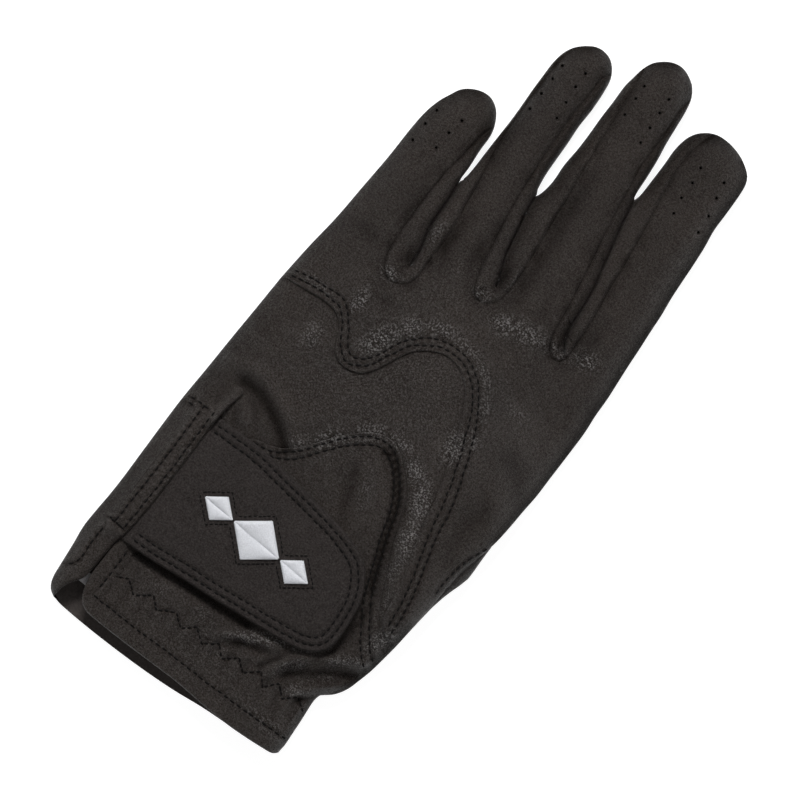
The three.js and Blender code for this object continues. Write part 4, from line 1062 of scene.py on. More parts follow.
    # painted edge shade: the colour is darkened near the outline and on slopes that face the key light
    painted_edge_shade = N("ShaderNodeAttribute")
    painted_edge_shade.attribute_name = "painted_edge_shade"
    rb = N("ShaderNodeMapRange")
    rb.inputs["To Min"].default_value = 1.0
    rb.inputs["To Max"].default_value = 0.46
    L(painted_edge_shade.outputs["Fac"], rb.inputs["Value"])
    ce = N("ShaderNodeMath")
    ce.operation = "MULTIPLY"
    L(cc.outputs["Value"], ce.inputs[0])
    L(rb.outputs["Result"], ce.inputs[1])
    cd = N("ShaderNodeMath")
    cd.operation = "MULTIPLY"
    L(ce.outputs["Value"], cd.inputs[0])
    L(ca.outputs["Result"], cd.inputs[1])
    grit = N("ShaderNodeTexNoise")            # painted glints: in the polished places the grain tips are painted pale
    grit.inputs["Scale"].default_value = 1.95
    grit.inputs["Detail"].default_value = 1
    grit.inputs["Roughness"].default_value = 0.6
    L(P, grit.inputs["Vector"])
    tip = N("ShaderNodeMapRange")
    tip.inputs["From Min"].default_value = 0.545
    tip.inputs["From Max"].default_value = 0.615
    tip.inputs["To Min"].default_value = 0.0
    tip.inputs["To Max"].default_value = 0.25
    L(grit.outputs["Fac"], tip.inputs["Value"])
    tp = N("ShaderNodeMath")
    tp.operation = "MULTIPLY"
    L(tip.outputs["Result"], tp.inputs[0])
    L(shine.outputs["Fac"], tp.inputs[1])
    dull = N("ShaderNodeMapRange")            # not down in the creases
    dull.inputs["From Min"].default_value = 0.0
    dull.inputs["From Max"].default_value = 0.55
    dull.inputs["To Min"].default_value = 1.0
    dull.inputs["To Max"].default_value = 0.0
    L(at.outputs["Fac"], dull.inputs["Value"])
    painted_glint = N("ShaderNodeMath")
    painted_glint.operation = "MULTIPLY"
    L(tp.outputs["Value"], painted_glint.inputs[0])
    L(dull.outputs["Result"], painted_glint.inputs[1])
    cb = N("ShaderNodeVectorMath")
    cb.operation = "SCALE"
    cb.inputs[0].default_value = base
    L(cd.outputs["Value"], cb.inputs["Scale"])
    pale = N("ShaderNodeVectorMath")
    pale.operation = "SCALE"
    pale.inputs[0].default_value = (1.0, 0.96, 0.94)
    L(painted_glint.outputs["Value"], pale.inputs["Scale"])
    col = N("ShaderNodeVectorMath")
    col.operation = "ADD"
    L(cb.outputs["Vector"], col.inputs[0])
    L(pale.outputs["Vector"], col.inputs[1])
    L(col.outputs["Vector"], b.inputs["Base Color"])
    rr = N("ShaderNodeMapRange")
    rr.inputs["From Min"].default_value = 0.35
    rr.inputs["From Max"].default_value = 0.65
    rr.inputs["To Min"].default_value = rough - 0.09
    rr.inputs["To Max"].default_value = rough + 0.11
    L(crease.outputs["Fac"], rr.inputs["Value"])
    patch = N("ShaderNodeMapRange")           # polished places break up into patches
    patch.inputs["From Min"].default_value = 0.36
    patch.inputs["From Max"].default_value = 0.62
    patch.inputs["To Min"].default_value = 0.5
    L(crease.outputs["Fac"], patch.inputs["Value"])
    glint = N("ShaderNodeMapRange")
    glint.inputs["From Min"].default_value = 0.38
    glint.inputs["From Max"].default_value = 0.62
    glint.inputs["To Min"].default_value = 0.0
    glint.inputs["To Max"].default_value = 1.6
    L(grit.outputs["Fac"], glint.inputs["Value"])
    sq = N("ShaderNodeMath")
    sq.operation = "MULTIPLY"
    L(shine.outputs["Fac"], sq.inputs[0])
    L(patch.outputs["Result"], sq.inputs[1])
    sp = N("ShaderNodeMath")
    sp.operation = "MULTIPLY"
    L(sq.outputs["Value"], sp.inputs[0])
    L(glint.outputs["Result"], sp.inputs[1])
    ro = N("ShaderNodeMath")
    ro.operation = "MULTIPLY_ADD"
    L(sp.outputs["Value"], ro.inputs[0])
    ro.inputs[1].default_value = -0.03
    L(rr.outputs["Result"], ro.inputs[2])
    L(ro.outputs["Value"], b.inputs["Roughness"])
    # the painted edge shade also turns the reflection down there
    inv = N("ShaderNodeMapRange")
    inv.inputs["To Min"].default_value = spec
    inv.inputs["To Max"].default_value = 0.02
    L(painted_edge_shade.outputs["Fac"], inv.inputs["Value"])
    boost = N("ShaderNodeMath")
    boost.operation = "MULTIPLY_ADD"
    L(sp.outputs["Value"], boost.inputs[0])
    boost.inputs[1].default_value = 0.75
    L(inv.outputs["Result"], boost.inputs[2])
    # pores lose their shine
    pore = N("ShaderNodeMapRange")
    pore.inputs["From Min"].default_value = 0.0
    pore.inputs["From Max"].default_value = 1.0
    pore.inputs["To Min"].default_value = 0.45
    pore.inputs["To Max"].default_value = 1.1
    L(vr.outputs["Result"], pore.inputs["Value"])
    sf = N("ShaderNodeMath")
    sf.operation = "MULTIPLY"
    L(boost.outputs["Value"], sf.inputs[0])
    L(pore.outputs["Result"], sf.inputs[1])
    crease_shade_spec = N("ShaderNodeMapRange")             # painted shade: the reflection is turned down in seams and creases
    crease_shade_spec.inputs["From Min"].default_value = -0.4
    crease_shade_spec.inputs["From Max"].default_value = 0.9
    crease_shade_spec.inputs["To Min"].default_value = 1.3
    crease_shade_spec.inputs["To Max"].default_value = 0.15
    L(at.outputs["Fac"], crease_shade_spec.inputs["Value"])
    sg = N("ShaderNodeMath")
    sg.operation = "MULTIPLY"
    L(sf.outputs["Value"], sg.inputs[0])
    L(crease_shade_spec.outputs["Result"], sg.inputs[1])
    gl2 = N("ShaderNodeMapRange")
    gl2.inputs["From Min"].default_value = 0.35
    gl2.inputs["From Max"].default_value = 0.65
    gl2.inputs["To Min"].default_value = 0.45
    gl2.inputs["To Max"].default_value = 1.6
    L(speck.outputs["Fac"], gl2.inputs["Value"])
    sh = N("ShaderNodeMath")
    sh.operation = "MULTIPLY"
    L(sg.outputs["Value"], sh.inputs[0])
    L(gl2.outputs["Result"], sh.inputs[1])
    L(sh.outputs["Value"], b.inputs["Specular IOR Level"])
    return m


def cloth_material(name, base, scale=2.0, rough=0.9, sheen=0.2, bump_mm=0.12, spec=0.2, kind="noise"):
    m = bpy.data.materials.new(name)
    m.use_nodes = True
    nt = m.node_tree
    nt.nodes.clear()
    N, L = nt.nodes.new, nt.links.new
    out = N("ShaderNodeOutputMaterial")
    b = N("ShaderNodeBsdfPrincipled")
    L(b.outputs["BSDF"], out.inputs["Surface"])
    tc = N("ShaderNodeTexCoord")
    mm = N("ShaderNodeVectorMath")
    mm.operation = "SCALE"
    mm.inputs["Scale"].default_value = 1000.0
    L(tc.outputs["Object"], mm.inputs[0])
    P = mm.outputs["Vector"]
    n = N("ShaderNodeTexNoise")
    n.inputs["Scale"].default_value = scale * 2.2
    n.inputs["Detail"].default_value = 3
    L(P, n.inputs["Vector"])
    if kind == "weave":
        sep = N("ShaderNodeSeparateXYZ")
        L(P, sep.inputs["Vector"])
        parts = []
        for ax in ("X", "Y"):
            mu = N("ShaderNodeMath")
            mu.operation = "MULTIPLY"
            L(sep.outputs[ax], mu.inputs[0])
            mu.inputs[1].default_value = scale * 2 * math.pi
            si = N("ShaderNodeMath")
            si.operation = "SINE"
            L(mu.outputs["Value"], si.inputs[0])
            parts.append(si)
        mul = N("ShaderNodeMath")
        mul.operation = "MULTIPLY"
        L(parts[0].outputs["Value"], mul.inputs[0])
        L(parts[1].outputs["Value"], mul.inputs[1])
        hh = N("ShaderNodeMath")
        hh.operation = "MULTIPLY_ADD"
        L(mul.outputs["Value"], hh.inputs[0])
        hh.inputs[1].default_value = 0.4
        L(n.outputs["Fac"], hh.inputs[2])
        height = hh.outputs["Value"]
    else:
        height = n.outputs["Fac"]
    bump = N("ShaderNodeBump")
    bump.inputs["Distance"].default_value = bump_mm * MM
    L(height, bump.inputs["Height"])
    L(bump.outputs["Normal"], b.inputs["Normal"])
    mr = N("ShaderNodeMapRange")
    mr.inputs["From Min"].default_value = 0.3
    mr.inputs["From Max"].default_value = 0.7
    mr.inputs["To Min"].default_value = 0.72
    mr.inputs["To Max"].default_value = 1.25
    L(n.outputs["Fac"], mr.inputs["Value"])
    col = N("ShaderNodeVectorMath")
    col.operation = "SCALE"
    col.inputs[0].default_value = base
    L(mr.outputs["Result"], col.inputs["Scale"])
    L(col.outputs["Vector"], b.inputs["Base Color"])
    r2 = N("ShaderNodeMapRange")
    r2.inputs["To Min"].default_value = max(0.05, rough - 0.12)
    r2.inputs["To Max"].default_value = min(1.0, rough + 0.08)
    L(n.outputs["Fac"], r2.inputs["Value"])
    L(r2.outputs["Result"], b.inputs["Roughness"])
    b.inputs["Sheen Weight"].default_value = sheen
    b.inputs["Specular IOR Level"].default_value = spec
    return m


LEATHER = leather_material("glove_leather", (0.0225, 0.0170, 0.0142), grain=2.4, rough=0.42, spec=0.46)
LEATHER_TAB = leather_material("tab_leather", (0.0212, 0.0170, 0.0157), grain=1.5, rough=0.62, spec=0.28, cell=3.0, tone=0.08)
FLESH = cloth_material("leather_flesh_side", (0.042, 0.0355, 0.033), scale=0.8, rough=0.95, sheen=0.15, bump_mm=0.16)
THREAD = cloth_material("black_thread", (0.0030, 0.0027, 0.0026), scale=4.0, rough=0.75, sheen=0.0, bump_mm=0.05, spec=0.12)
LINING = cloth_material("tab_lining", (0.012, 0.012, 0.012), scale=1.4, rough=0.9, sheen=0.1, bump_mm=0.15, kind="weave")
ELASTIC = cloth_material("elastic_tape", (0.010, 0.010, 0.010), scale=1.0, rough=0.8, sheen=0.05, bump_mm=0.25, kind="weave")
PILE = cloth_material("loop_pile", (0.009, 0.009, 0.010), scale=2.2, rough=1.0, sheen=0.4, bump_mm=0.5)
HOOKS = cloth_material("hook_tape", (0.008, 0.008, 0.009), scale=1.1, rough=0.45, sheen=0.0, bump_mm=0.35, spec=0.5, kind="weave")
WHITE_THREAD = cloth_material("white_thread", (0.56, 0.57, 0.60), scale=2.5, rough=0.42, sheen=0.1, bump_mm=0.03, spec=0.5)
GREY_THREAD = cloth_material("grey_thread", (0.10, 0.10, 0.105), scale=2.5, rough=0.5, sheen=0.1, bump_mm=0.03, spec=0.4)
SATIN = cloth_material("label_satin", (0.45, 0.44, 0.45), scale=2.4, rough=0.6, sheen=0.1, bump_mm=0.06, kind="weave")

# ------------------------------------------------------------------ finger regions and cuts
def finger_axes(name):
    f = FINGER[name]
    a = math.radians(f["lean"])
    return np.array([math.cos(a), math.sin(a)]), np.array([-math.sin(a), math.cos(a)])


def along(name, P):
    """Distance along the finger, measured so that it equals Y on the finger's middle at its knuckle."""
    f = FINGER[name]
    u, v = finger_axes(name)
    return (np.asarray(P)[:, :2] - np.array(f["base"])) @ v + f["base"][1]


def across_line(name, at):
    f = FINGER[name]
    u, v = finger_axes(name)
    c = np.array(f["base"]) + v * (at - f["base"][1])
    return c, u


SECTION_OF = {"pinky": (0, SLITS[0]), "ring": (SLITS[0], SLITS[1]), "middle": (SLITS[1], SLITS[2]), "index": (SLITS[2], None)}
FINGER_POLY = {}
CUT_LINES = []
for nm in FLEX:
    a, b = SECTION_OF[nm]
    pts = OUTLINE[a:b + 1] if b is not None else OUTLINE[a:]
    v = along(nm, pts)
    keep = pts[v > FINGER[nm]["root"] - 0.001]
    if nm in ("pinky", "index"):
        keep = keep[np.abs(keep[:, 1]) < 200]
    FINGER_POLY[nm] = keep
    for at in (FINGER[nm]["root"], FINGER[nm]["cut"]):
        c, u = across_line(nm, at)
        vv = along(nm, pts)
        # the two outline crossings of this line
        hits = []
        for i in range(len(pts) - 1):
            if (vv[i] - at) * (vv[i + 1] - at) < 0:
                t = (at - vv[i]) / (vv[i + 1] - vv[i])
                hits.append(pts[i] + t * (pts[i + 1] - pts[i]))
        hits = sorted(hits, key=lambda p: p @ u)
        CUT_LINES.append((nm, at, hits[0], hits[-1]))


def insert_hits(line, hits):
    """The outline with the crossing points of the cuts added as vertices."""
    s = arc(line)
    out = list(map(tuple, line))
    add = []
    for h in hits:
        d, foot, _ = to_line(np.array([h]), line)
        add.append((foot[0], tuple(h)))
    allp = sorted([(s[i], tuple(line[i])) for i in range(len(line))] + add, key=lambda q: q[0])
    res = [allp[0]]
    for q in allp[1:]:
        if q[0] - res[-1][0] < 0.12:
            if any(abs(q[1][0] - h[0]) + abs(q[1][1] - h[1]) < 1e-9 for h in hits):
                res[-1] = q
            continue
        res.append(q)
    return np.array([q[1] for q in res])


HITS = [h for c in CUT_LINES for h in (c[2], c[3])]
corner = [tuple(OUTLINE[i]) for i in SLITS] + [tuple(SEC[0][-1]), tuple(SEC[4][-1]), tuple(OUTLINE[0]), tuple(OUTLINE[-1])]
OUTLINE2 = insert_hits(OUTLINE, HITS)


def index_of(p):
    return int(np.argmin(np.hypot(*(OUTLINE2 - np.asarray(p)).T)))


I_W1L = index_of(SEC[0][-1])
I_W1R = index_of(SEC[4][-1])
I_S = [index_of(OUTLINE[i]) for i in SLITS]
I_W2R = index_of((41.9, -68.9))
I_FT = index_of((-47.7, -35.6))
CORNER = OUTLINE2[0]
TIPS = {"pinky": (-32, 74.5), "ring": (-13.5, 104.2), "middle": (7, 114), "index": (29, 105)}
I_T = {k: index_of(v) for k, v in TIPS.items()}
# the outline's stretches that face another finger
inner_outline = OUTLINE
INNER_SIDES = []
for a_tip, slit, b_tip in ((TIPS["pinky"], 0, TIPS["ring"]), (TIPS["ring"], 1, TIPS["middle"]), (TIPS["middle"], 2, TIPS["index"])):
    ia = int(np.argmin(np.hypot(*(OUTLINE - np.asarray(a_tip)).T)))
    ib = int(np.argmin(np.hypot(*(OUTLINE - np.asarray(b_tip)).T)))
    INNER_SIDES.append((ia + 7, ib - 6))


def cut_segments(n=14):
    return [np.linspace(c[2], c[3], n) for c in CUT_LINES]


ROLL_R = 7.0
ROLL_OFFS = [-ROLL_R * (1 - math.cos(math.radians(a))) for a in (5, 11, 19, 28, 38, 49, 60, 72, 84)]
SEAM_OFFS = (-3.0, -2.1, -1.4, -0.9, -0.55, -0.3, -0.13, 0.13, 0.3, 0.55, 0.9, 1.4)
ROW_OFFS = (-1.1, -0.6, -0.25, 0.25, 0.6, 1.1)


def clip_line(line, poly):
    """The longest run of a line's points that lies inside a polygon."""
    ok = inside(line, poly)
    best, run = (0, 0), None
    for i, v in enumerate(list(ok) + [False]):
        if v and run is None:
            run = i
        if not v and run is not None:
            if i - run > best[1] - best[0]:
                best = (run, i)
            run = None
    return line[best[0]:best[1]]


# ---- the knuckle panel with the finger backs and the fourchettes: everything beyond the first wavy edge
edge1 = curve(W1_EDGE, 0.8)
edge1[0] = OUTLINE2[I_W1L]
edge1[-1] = OUTLINE2[I_W1R]
upper_boundary = np.vstack([OUTLINE2[I_W1L:I_W1R + 1], edge1[::-1][1:-1]])
seam_lines = [np.vstack([clip_line(s, upper_boundary)]) for s in SEAM.values()]
hole_pts = []
for h in HOLES:
    for r, n in ((0.0, 1), (0.36, 10), (0.45, 12), (0.66, 12), (0.9, 14)):
        t = np.arange(n) * 2 * np.pi / n
        hole_pts.append(np.array(h) + r * np.stack([np.cos(t), np.sin(t)], 1))
upper = mesh_region(
    upper_boundary, lines=seam_lines + cut_segments(),
    rings=[(q, (-1.6, -1.15, -0.85, -0.66, -0.52, -0.4, -0.3, -0.22, -0.15, -0.1, 0.1, 0.15, 0.22, 0.3, 0.4, 0.52, 0.66, 0.85, 1.15, 1.6)) for q in TOUCH]
    + [(OUTLINE, ROLL_OFFS), (edge1, (0.2, 0.45, 0.8, 1.3))]
    + [(s, SEAM_OFFS) for s in seam_lines]
    + [(resample(ROWS[k], 0.8), (0,) + ROW_OFFS) for k in ("w1a", "w1b", "thumb")],
    points=hole_pts)
print("upper", len(upper[0]), len(upper[1]))
top_part = lay(upper, knuckle_z)

# ---- the palm side, with the finger fronts
palm_rings = [(OUTLINE, [-6.0 * (1 - math.cos(math.radians(a))) for a in (((6, 12, 20, 30, 41, 53, 66, 80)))])]
for a, b in INNER_SIDES:
    palm_rings.append((OUTLINE[a:b], (-1.6, -1.95, -2.2, -2.4, -2.6, -2.85, -3.2)))
whole2 = np.vstack([OUTLINE2, CUFF[1:-1]])
palm_region = mesh_region(whole2, lines=cut_segments(), rings=palm_rings, cell=CELL * 1.25)
print("palm", len(palm_region[0]), len(palm_region[1]))
palm_part = lay(palm_region, palm_z, flip=True)
# below the middle the touching fourchettes lean to one side, so no light comes through between two fingers
_, _, share = shoulder(palm_part.V[:, :2])
for line in TOUCH:
    d = to_line(palm_part.V[:, :2], line, reach=6)[0]
    zm = mid_height(palm_part.V[:, :2])
    palm_part.V[:, 0] -= 0.75 * np.sin(np.pi * np.clip((zm - palm_part.V[:, 2]) / zm, 0, 1)) * smooth(share * 1.5) * gauss(d, 2.2)

# ---- the middle back panel, tucked under both wavy edges
tuck1 = shift_line(curve(W1_EDGE, 1.2), 4.6)
tuck1 = tuck1[inside(tuck1, WHOLE)][1:-1]
tuck2 = shift_line(curve(W2_EDGE, 1.2), -4.2)
tuck2 = tuck2[inside(tuck2, WHOLE)][1:-1]
il = index_of((-47.9, -48))
iu = index_of((-46.5, 2.2))
ir = index_of((42.3, -61))
jr = index_of((41.3, -72.5))
mid_boundary = np.vstack([OUTLINE2[il:iu + 1], tuck1, OUTLINE2[ir:jr + 1], tuck2[::-1], [(-37, -50.5), (-42, -49)]])
try:
    mid_region = mesh_region(mid_boundary, rings=[(OUTLINE2[il:iu + 1], ROLL_OFFS), (edge1, (-0.3, -0.8)), (curve(W2_EDGE, 0.8), (0.3, 0.8))])
    print("middle", len(mid_region[0]), len(mid_region[1]))
except Exception as e:
    raise
mid_part = lay(mid_region, middle_z)

# ---- the wrist panel
edge2 = curve(W2_EDGE, 0.8)
wedge = curve(WRIST_EDGE, 0.8)
edge2[0] = wedge[-1]
edge2[-1] = OUTLINE2[I_W2R]
wedge[0] = OUTLINE2[-1]
wrist_boundary = np.vstack([edge2, OUTLINE2[I_W2R + 1:], wedge[1:-1]])[::-1]
zz_line = resample(ZIGZAG, 0.8)
wrist_region = mesh_region(
    wrist_boundary,
    rings=[(OUTLINE2[I_W2R:], ROLL_OFFS), (edge2, (-0.2, -0.45, -0.8, -1.3)), (wedge, (-0.2, -0.45, -0.8, 0.2, 0.45, 0.8)), (zz_line, (0,) + ROW_OFFS)]
    + [(resample(ROWS[k], 0.8), (0,) + ROW_OFFS) for k in ("w2a", "w2b", "hem", "wcol")])
print("wrist", len(wrist_region[0]), len(wrist_region[1]))
wrist_part = lay(wrist_region, wrist_z)

# ---- the slit facing on the little finger's side
fedge = np.vstack([curve(FACING_TOP, 0.8), curve(FACING_EDGE, 0.8)[1:]])
fedge[0] = OUTLINE2[I_FT]
fedge[-1] = OUTLINE2[0]
facing_boundary = np.vstack([OUTLINE2[:I_FT + 1], fedge[1:-1]])
facing_region = mesh_region(
    facing_boundary, cell=CELL * 0.8,
    rings=[(OUTLINE2[:I_FT + 1], ROLL_OFFS), (fedge, (-0.2, -0.45, -0.8, -1.4))]
    + [(resample(ROWS[k], 0.8), (0,) + ROW_OFFS) for k in ("colA", "colB", "colC", "tackA", "tackB", "tackC")])
print("facing", len(facing_region[0]), len(facing_region[1]))
facing_part = lay(facing_region, facing_z)

# ------------------------------------------------------------------ shared normals, so pieces meet without a visible line
def shared_normals(parts):
    acc = {}
    own = []
    for p in parts:
        n = vertex_normals(p.V, p.F)
        own.append(n)
        for v, q in zip(p.V, n):
            k = (round(v[0], 3), round(v[1], 3), round(v[2], 2))
            acc[k] = acc.get(k, 0) + q
    for p, n in zip(parts, own):
        res = np.array([acc[(round(v[0], 3), round(v[1], 3), round(v[2], 2))] for v in p.V])
        p.N = res / np.maximum(np.linalg.norm(res, axis=1), 1e-12)[:, None]


shared_normals([top_part, palm_part, wrist_part, facing_part])
shared_normals_mid = vertex_normals(mid_part.V, mid_part.F)
mid_part.N = shared_normals_mid / np.maximum(np.linalg.norm(shared_normals_mid, axis=1), 1e-12)[:, None]


def on_line(line, tol=0.06):
    def test(p):
        return to_line(np.array([p[:2]]), line, reach=1)[0][0] < tol
    return test


def attach(ob, nodes=(), body=None, bend=None):
    if nodes:
        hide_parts(*nodes)
    if bend:
        a, b, s, e = bend
        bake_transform(ob)
        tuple(s)
        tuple(e)
    else:
        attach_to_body(ob, body)
    return ob


def emit(name, part, mask, nodes, mat=None, body=None, bend=None, wall=None, wall_depth=1.0, inner=0.0):
    q = pick(part, mask)
    if len(q.F) == 0:
        raise RuntimeError("no triangles for " + name)
    n = part.N[q.src]
    if wall is not None:
        V, F, N, painted_shading = edge_wall(q, n, wall, wall_depth)
    else:
        V, F, N, painted_shading = q.V, [tuple(f) for f in q.F], n, q.painted_shading
    faces = list(F)
    outer_count = len(faces)
    if inner:
        base = len(V)
        V = np.vstack([V, q.V - n * inner])
        N = np.vstack([N, -n])
        painted_shading = np.concatenate([painted_shading, np.full(len(q.V), 0.1)])
        faces += [(base + a, base + c, base + b) for a, b, c in q.F]
    ob = make_object(name, V, faces, N, {"painted_shading": painted_shading, **edge_shade_and_shine(V, N)}, mat or LEATHER)
    if inner:
        ob.data.materials.append(FLESH)
        idx = np.zeros(len(faces), np.int32)
        idx[outer_count:] = 1
        ob.data.polygons.foreach_set("material_index", idx)
    return attach(ob, nodes, body, bend)


def at(height, P):
    P = np.atleast_2d(np.asarray(P, float))
    z = height(P)
    return z[0] if isinstance(z, tuple) else z


def slab(name, boundary, zlow, zhigh, mat, nodes=(), body=None, bend=None, rings=(), cell=None, low_mat=None):
    """A flat piece between two height functions, with its cut edge all round."""
    V2, F = mesh_region(boundary, rings=rings, cell=cell)
    top = Part(np.column_stack([V2, at(zhigh, V2)]), F, zhigh(V2)[1] if isinstance(zhigh(V2), tuple) else np.zeros(len(V2)))
    n = vertex_normals(top.V, top.F)
    n /= np.maximum(np.linalg.norm(n, axis=1), 1e-12)[:, None]
    lowz = at(zlow, V2)
    depth_of = {}
    for p, z0 in zip(top.V, lowz):
        depth_of[(round(p[0], 5), round(p[1], 5))] = max(p[2] - z0, 0.02)
    V, faces, N, painted_shading = edge_wall(top, n, lambda p: True, lambda p: depth_of[(round(p[0], 5), round(p[1], 5))])
    base = len(V)
    low = np.column_stack([V2, lowz])
    nl = vertex_normals(low, F)
    nl /= np.maximum(np.linalg.norm(nl, axis=1), 1e-12)[:, None]
    V = np.vstack([V, low])
    N = np.vstack([N, -nl])
    painted_shading = np.concatenate([painted_shading, np.zeros(len(low))])
    count = len(faces)
    faces = list(faces) + [(base + a, base + c, base + b) for a, b, c in F]
    ob = make_object(name, V, faces, N, {"painted_shading": painted_shading}, mat)
    if low_mat is not None:
        ob.data.materials.append(low_mat)
        idx = np.zeros(len(faces), np.int32)
        idx[count:] = 1
        ob.data.polygons.foreach_set("material_index", idx)
    return attach(ob, nodes, body, bend)


def tubes(C, radius, sides=6, ends=(0.35, 0.82)):
    """Round strands along centre lines C (count, points, 3)."""
    C = np.asarray(C, float)
    n, m, _ = C.shape
    T = np.gradient(C, axis=1)
    T /= np.maximum(np.linalg.norm(T, axis=2), 1e-9)[:, :, None]
    up = np.array([0, 0, 1.0])
    S = np.cross(T, up)
    S /= np.maximum(np.linalg.norm(S, axis=2), 1e-9)[:, :, None]
    U = np.cross(S, T)
    r = np.full(m, 1.0)
    for i, e in enumerate(ends):
        r[i] = r[m - 1 - i] = e
    radius = np.broadcast_to(np.asarray(radius, float), (n,))
    a = np.arange(sides) * 2 * np.pi / sides
    off = S[:, :, None, :] * np.cos(a)[None, None, :, None] + U[:, :, None, :] * np.sin(a)[None, None, :, None]
    V = C[:, :, None, :] + off * (r[None, :, None, None] * radius[:, None, None, None])
    N = off
    idx = np.arange(n * m * sides).reshape(n, m, sides)
    q = np.stack([idx[:, :-1], np.roll(idx, -1, 2)[:, :-1], np.roll(idx, -1, 2)[:, 1:], idx[:, 1:]], -1).reshape(-1, 4)
    faces = [tuple(f[::-1]) for f in q]
    faces += [tuple(f) for f in idx[:, 0, :]] + [tuple(f) for f in idx[:, -1, ::-1]]
    return V.reshape(-1, 3), faces, N.reshape(-1, 3)


STITCH_RNG = np.random.default_rng(11)


def stitch_row(line, height, pitch=2.2, length=1.5, sunk=0.0, start=0.0):
    line = np.asarray(line, float)
    s = arc(line)
    n = int((s[-1] - start) // pitch)
    if n < 1:
        return np.zeros((0, 7, 3))
    pad = (s[-1] - start - n * pitch) / 2
    mid = start + pad + (np.arange(n) + 0.5) * pitch
    mid = mid + STITCH_RNG.uniform(-0.08, 0.08, n)
    ln = length * STITCH_RNG.uniform(0.84, 1.12, n)
    t = np.linspace(-1, 1, 7)
    q = mid[:, None] + 0.5 * ln[:, None] * t[None]
    x = np.interp(q, s, line[:, 0])
    y = np.interp(q, s, line[:, 1])
    wob = STITCH_RNG.uniform(-0.11, 0.11, (n, 2))
    x = x + wob[:, :1]
    y = y + wob[:, 1:]
    z = at(height, np.stack([x.ravel(), y.ravel()], 1)).reshape(x.shape)
    z = z.mean(1, keepdims=True) * 0.5 + z * 0.5
    return np.stack([x, y, z + 0.17 - 0.30 * t[None] ** 4 - sunk], -1)


def sew(name, rows, mat=None, radius=0.28, body=None, bend=None):
    C = np.concatenate([r for r in rows if len(r)], 0)
    V, F, N = tubes(C, radius)
    ob = make_object(name, V, F, N, {"painted_shading": np.zeros(len(V))}, mat or THREAD)
    return attach(ob, (), body, bend)


def world(p2, z=5.0):
    return ((p2[0] + SHIFT[0]) * MM, (p2[1] + SHIFT[1]) * MM, z * MM)


def bend_of(name, which):
    f = FINGER[name]
    s, e = f[which]
    cs, _ = across_line(name, s)
    ce, _ = across_line(name, e)
    pair = ("hand", name + "_base") if which == "knuckle" else (name + "_base", name + "_tip")
    return pair[0], pair[1], world(cs), world(ce)


def zones(part):
    """For each triangle: 0 the hand, or (finger, lower or upper)."""
    c = part.V[part.F].mean(1)
    zone = np.zeros(len(part.F), int)
    for k, nm in enumerate(FLEX):
        v = along(nm, c)
        inn = inside(c[:, :2], FINGER_POLY[nm])
        f = FINGER[nm]
        u = (c[:, :2] - np.array(f["base"])) @ finger_axes(nm)[0]
        zone[inn & (v > f["root"]) & (v < f["cut"])] = 10 * (k + 1) + 1
        zone[inn & (v >= f["cut"])] = 10 * (k + 1) + 2
    # slivers along the outline belong to the finger they touch
    left = np.nonzero((zone == 0) & (c[:, 1] > 24))[0]
    if len(left):
        best = np.full(len(left), 0.7)
        for k, nm in enumerate(FLEX):
            v = along(nm, c[left])
            d = to_line(c[left][:, :2], FINGER_POLY[nm])[0]
            ok = (v > FINGER[nm]["root"]) & (d < best)
            zone[left[ok]] = np.where(v[ok] < FINGER[nm]["cut"], 10 * (k + 1) + 1, 10 * (k + 1) + 2)
            best[ok] = d[ok]
    return zone, c


ztop, ctop = zones(top_part)
zpalm, cpalm = zones(palm_part)
gap_polys = [np.vstack([s, [s[0]]]) for s in SEAM.values()]
in_gap = [inside(ctop[:, :2], g) for g in gap_polys]
BETWEEN = [("pinky", "ring"), ("ring", "middle"), ("middle", "index")]
any_gap = in_gap[0] | in_gap[1] | in_gap[2]

emit("knuckle_panel_leather", top_part, (ztop == 0) & ~any_gap, ["knuckle_panel"], body="hand", wall=on_line(edge1), wall_depth=0.8, inner=0.8)
for g, (a, b) in zip(in_gap, BETWEEN):
    emit(f"fourchette_crotch_{a}_{b}_leather", top_part, (ztop == 0) & g, [f"fourchette_crotch_{a}_{b}"], body="hand")
emit("palm_leather", palm_part, zpalm == 0, ["palm_panel"], body="hand", wall=on_line(CUFF), wall_depth=-0.85, inner=0.8)
for k, nm in enumerate(FLEX):
    for seg, which, label in ((1, "knuckle", "base"), (2, "mid", "tip")):
        code = 10 * (k + 1) + seg
        bend = bend_of(nm, which)
        emit(f"{nm}_back_{label}_leather", top_part, (ztop == code) & ~any_gap, [f"{nm}_back_{label}"], bend=bend)
        emit(f"{nm}_front_{label}_leather", palm_part, zpalm == code, [f"{nm}_front_{label}"], bend=bend)
        for g, (a, b) in zip(in_gap, BETWEEN):
            if nm in (a, b):
                side = "thumb_side" if nm == a else "pinky_side"
                emit(f"{nm}_fourchette_{side}_{label}_leather", top_part, (ztop == code) & g, [f"{nm}_fourchette_{side}_{label}"], bend=bend)
emit("middle_back_leather", mid_part, np.ones(len(mid_part.F), bool), ["middle_back_panel"], body="hand", inner=0.7)
exposed = np.vstack([edge2, wedge[::-1]])
emit("wrist_panel_leather", wrist_part, np.ones(len(wrist_part.F), bool), ["wrist_panel"], body="hand", wall=on_line(exposed), wall_depth=0.85, inner=0.8)


def facing_depth(p):
    y = p[1]
    k = float(smooth(np.array([(-41.5 - y) / 3]))[0] * smooth(np.array([(y + 89) / 3]))[0])
    return (1.35 * (1 - k) + 0.62 * k) * float(smooth(np.array([(-33.2 - y) / 2.5]))[0] * 0.9 + 0.1)


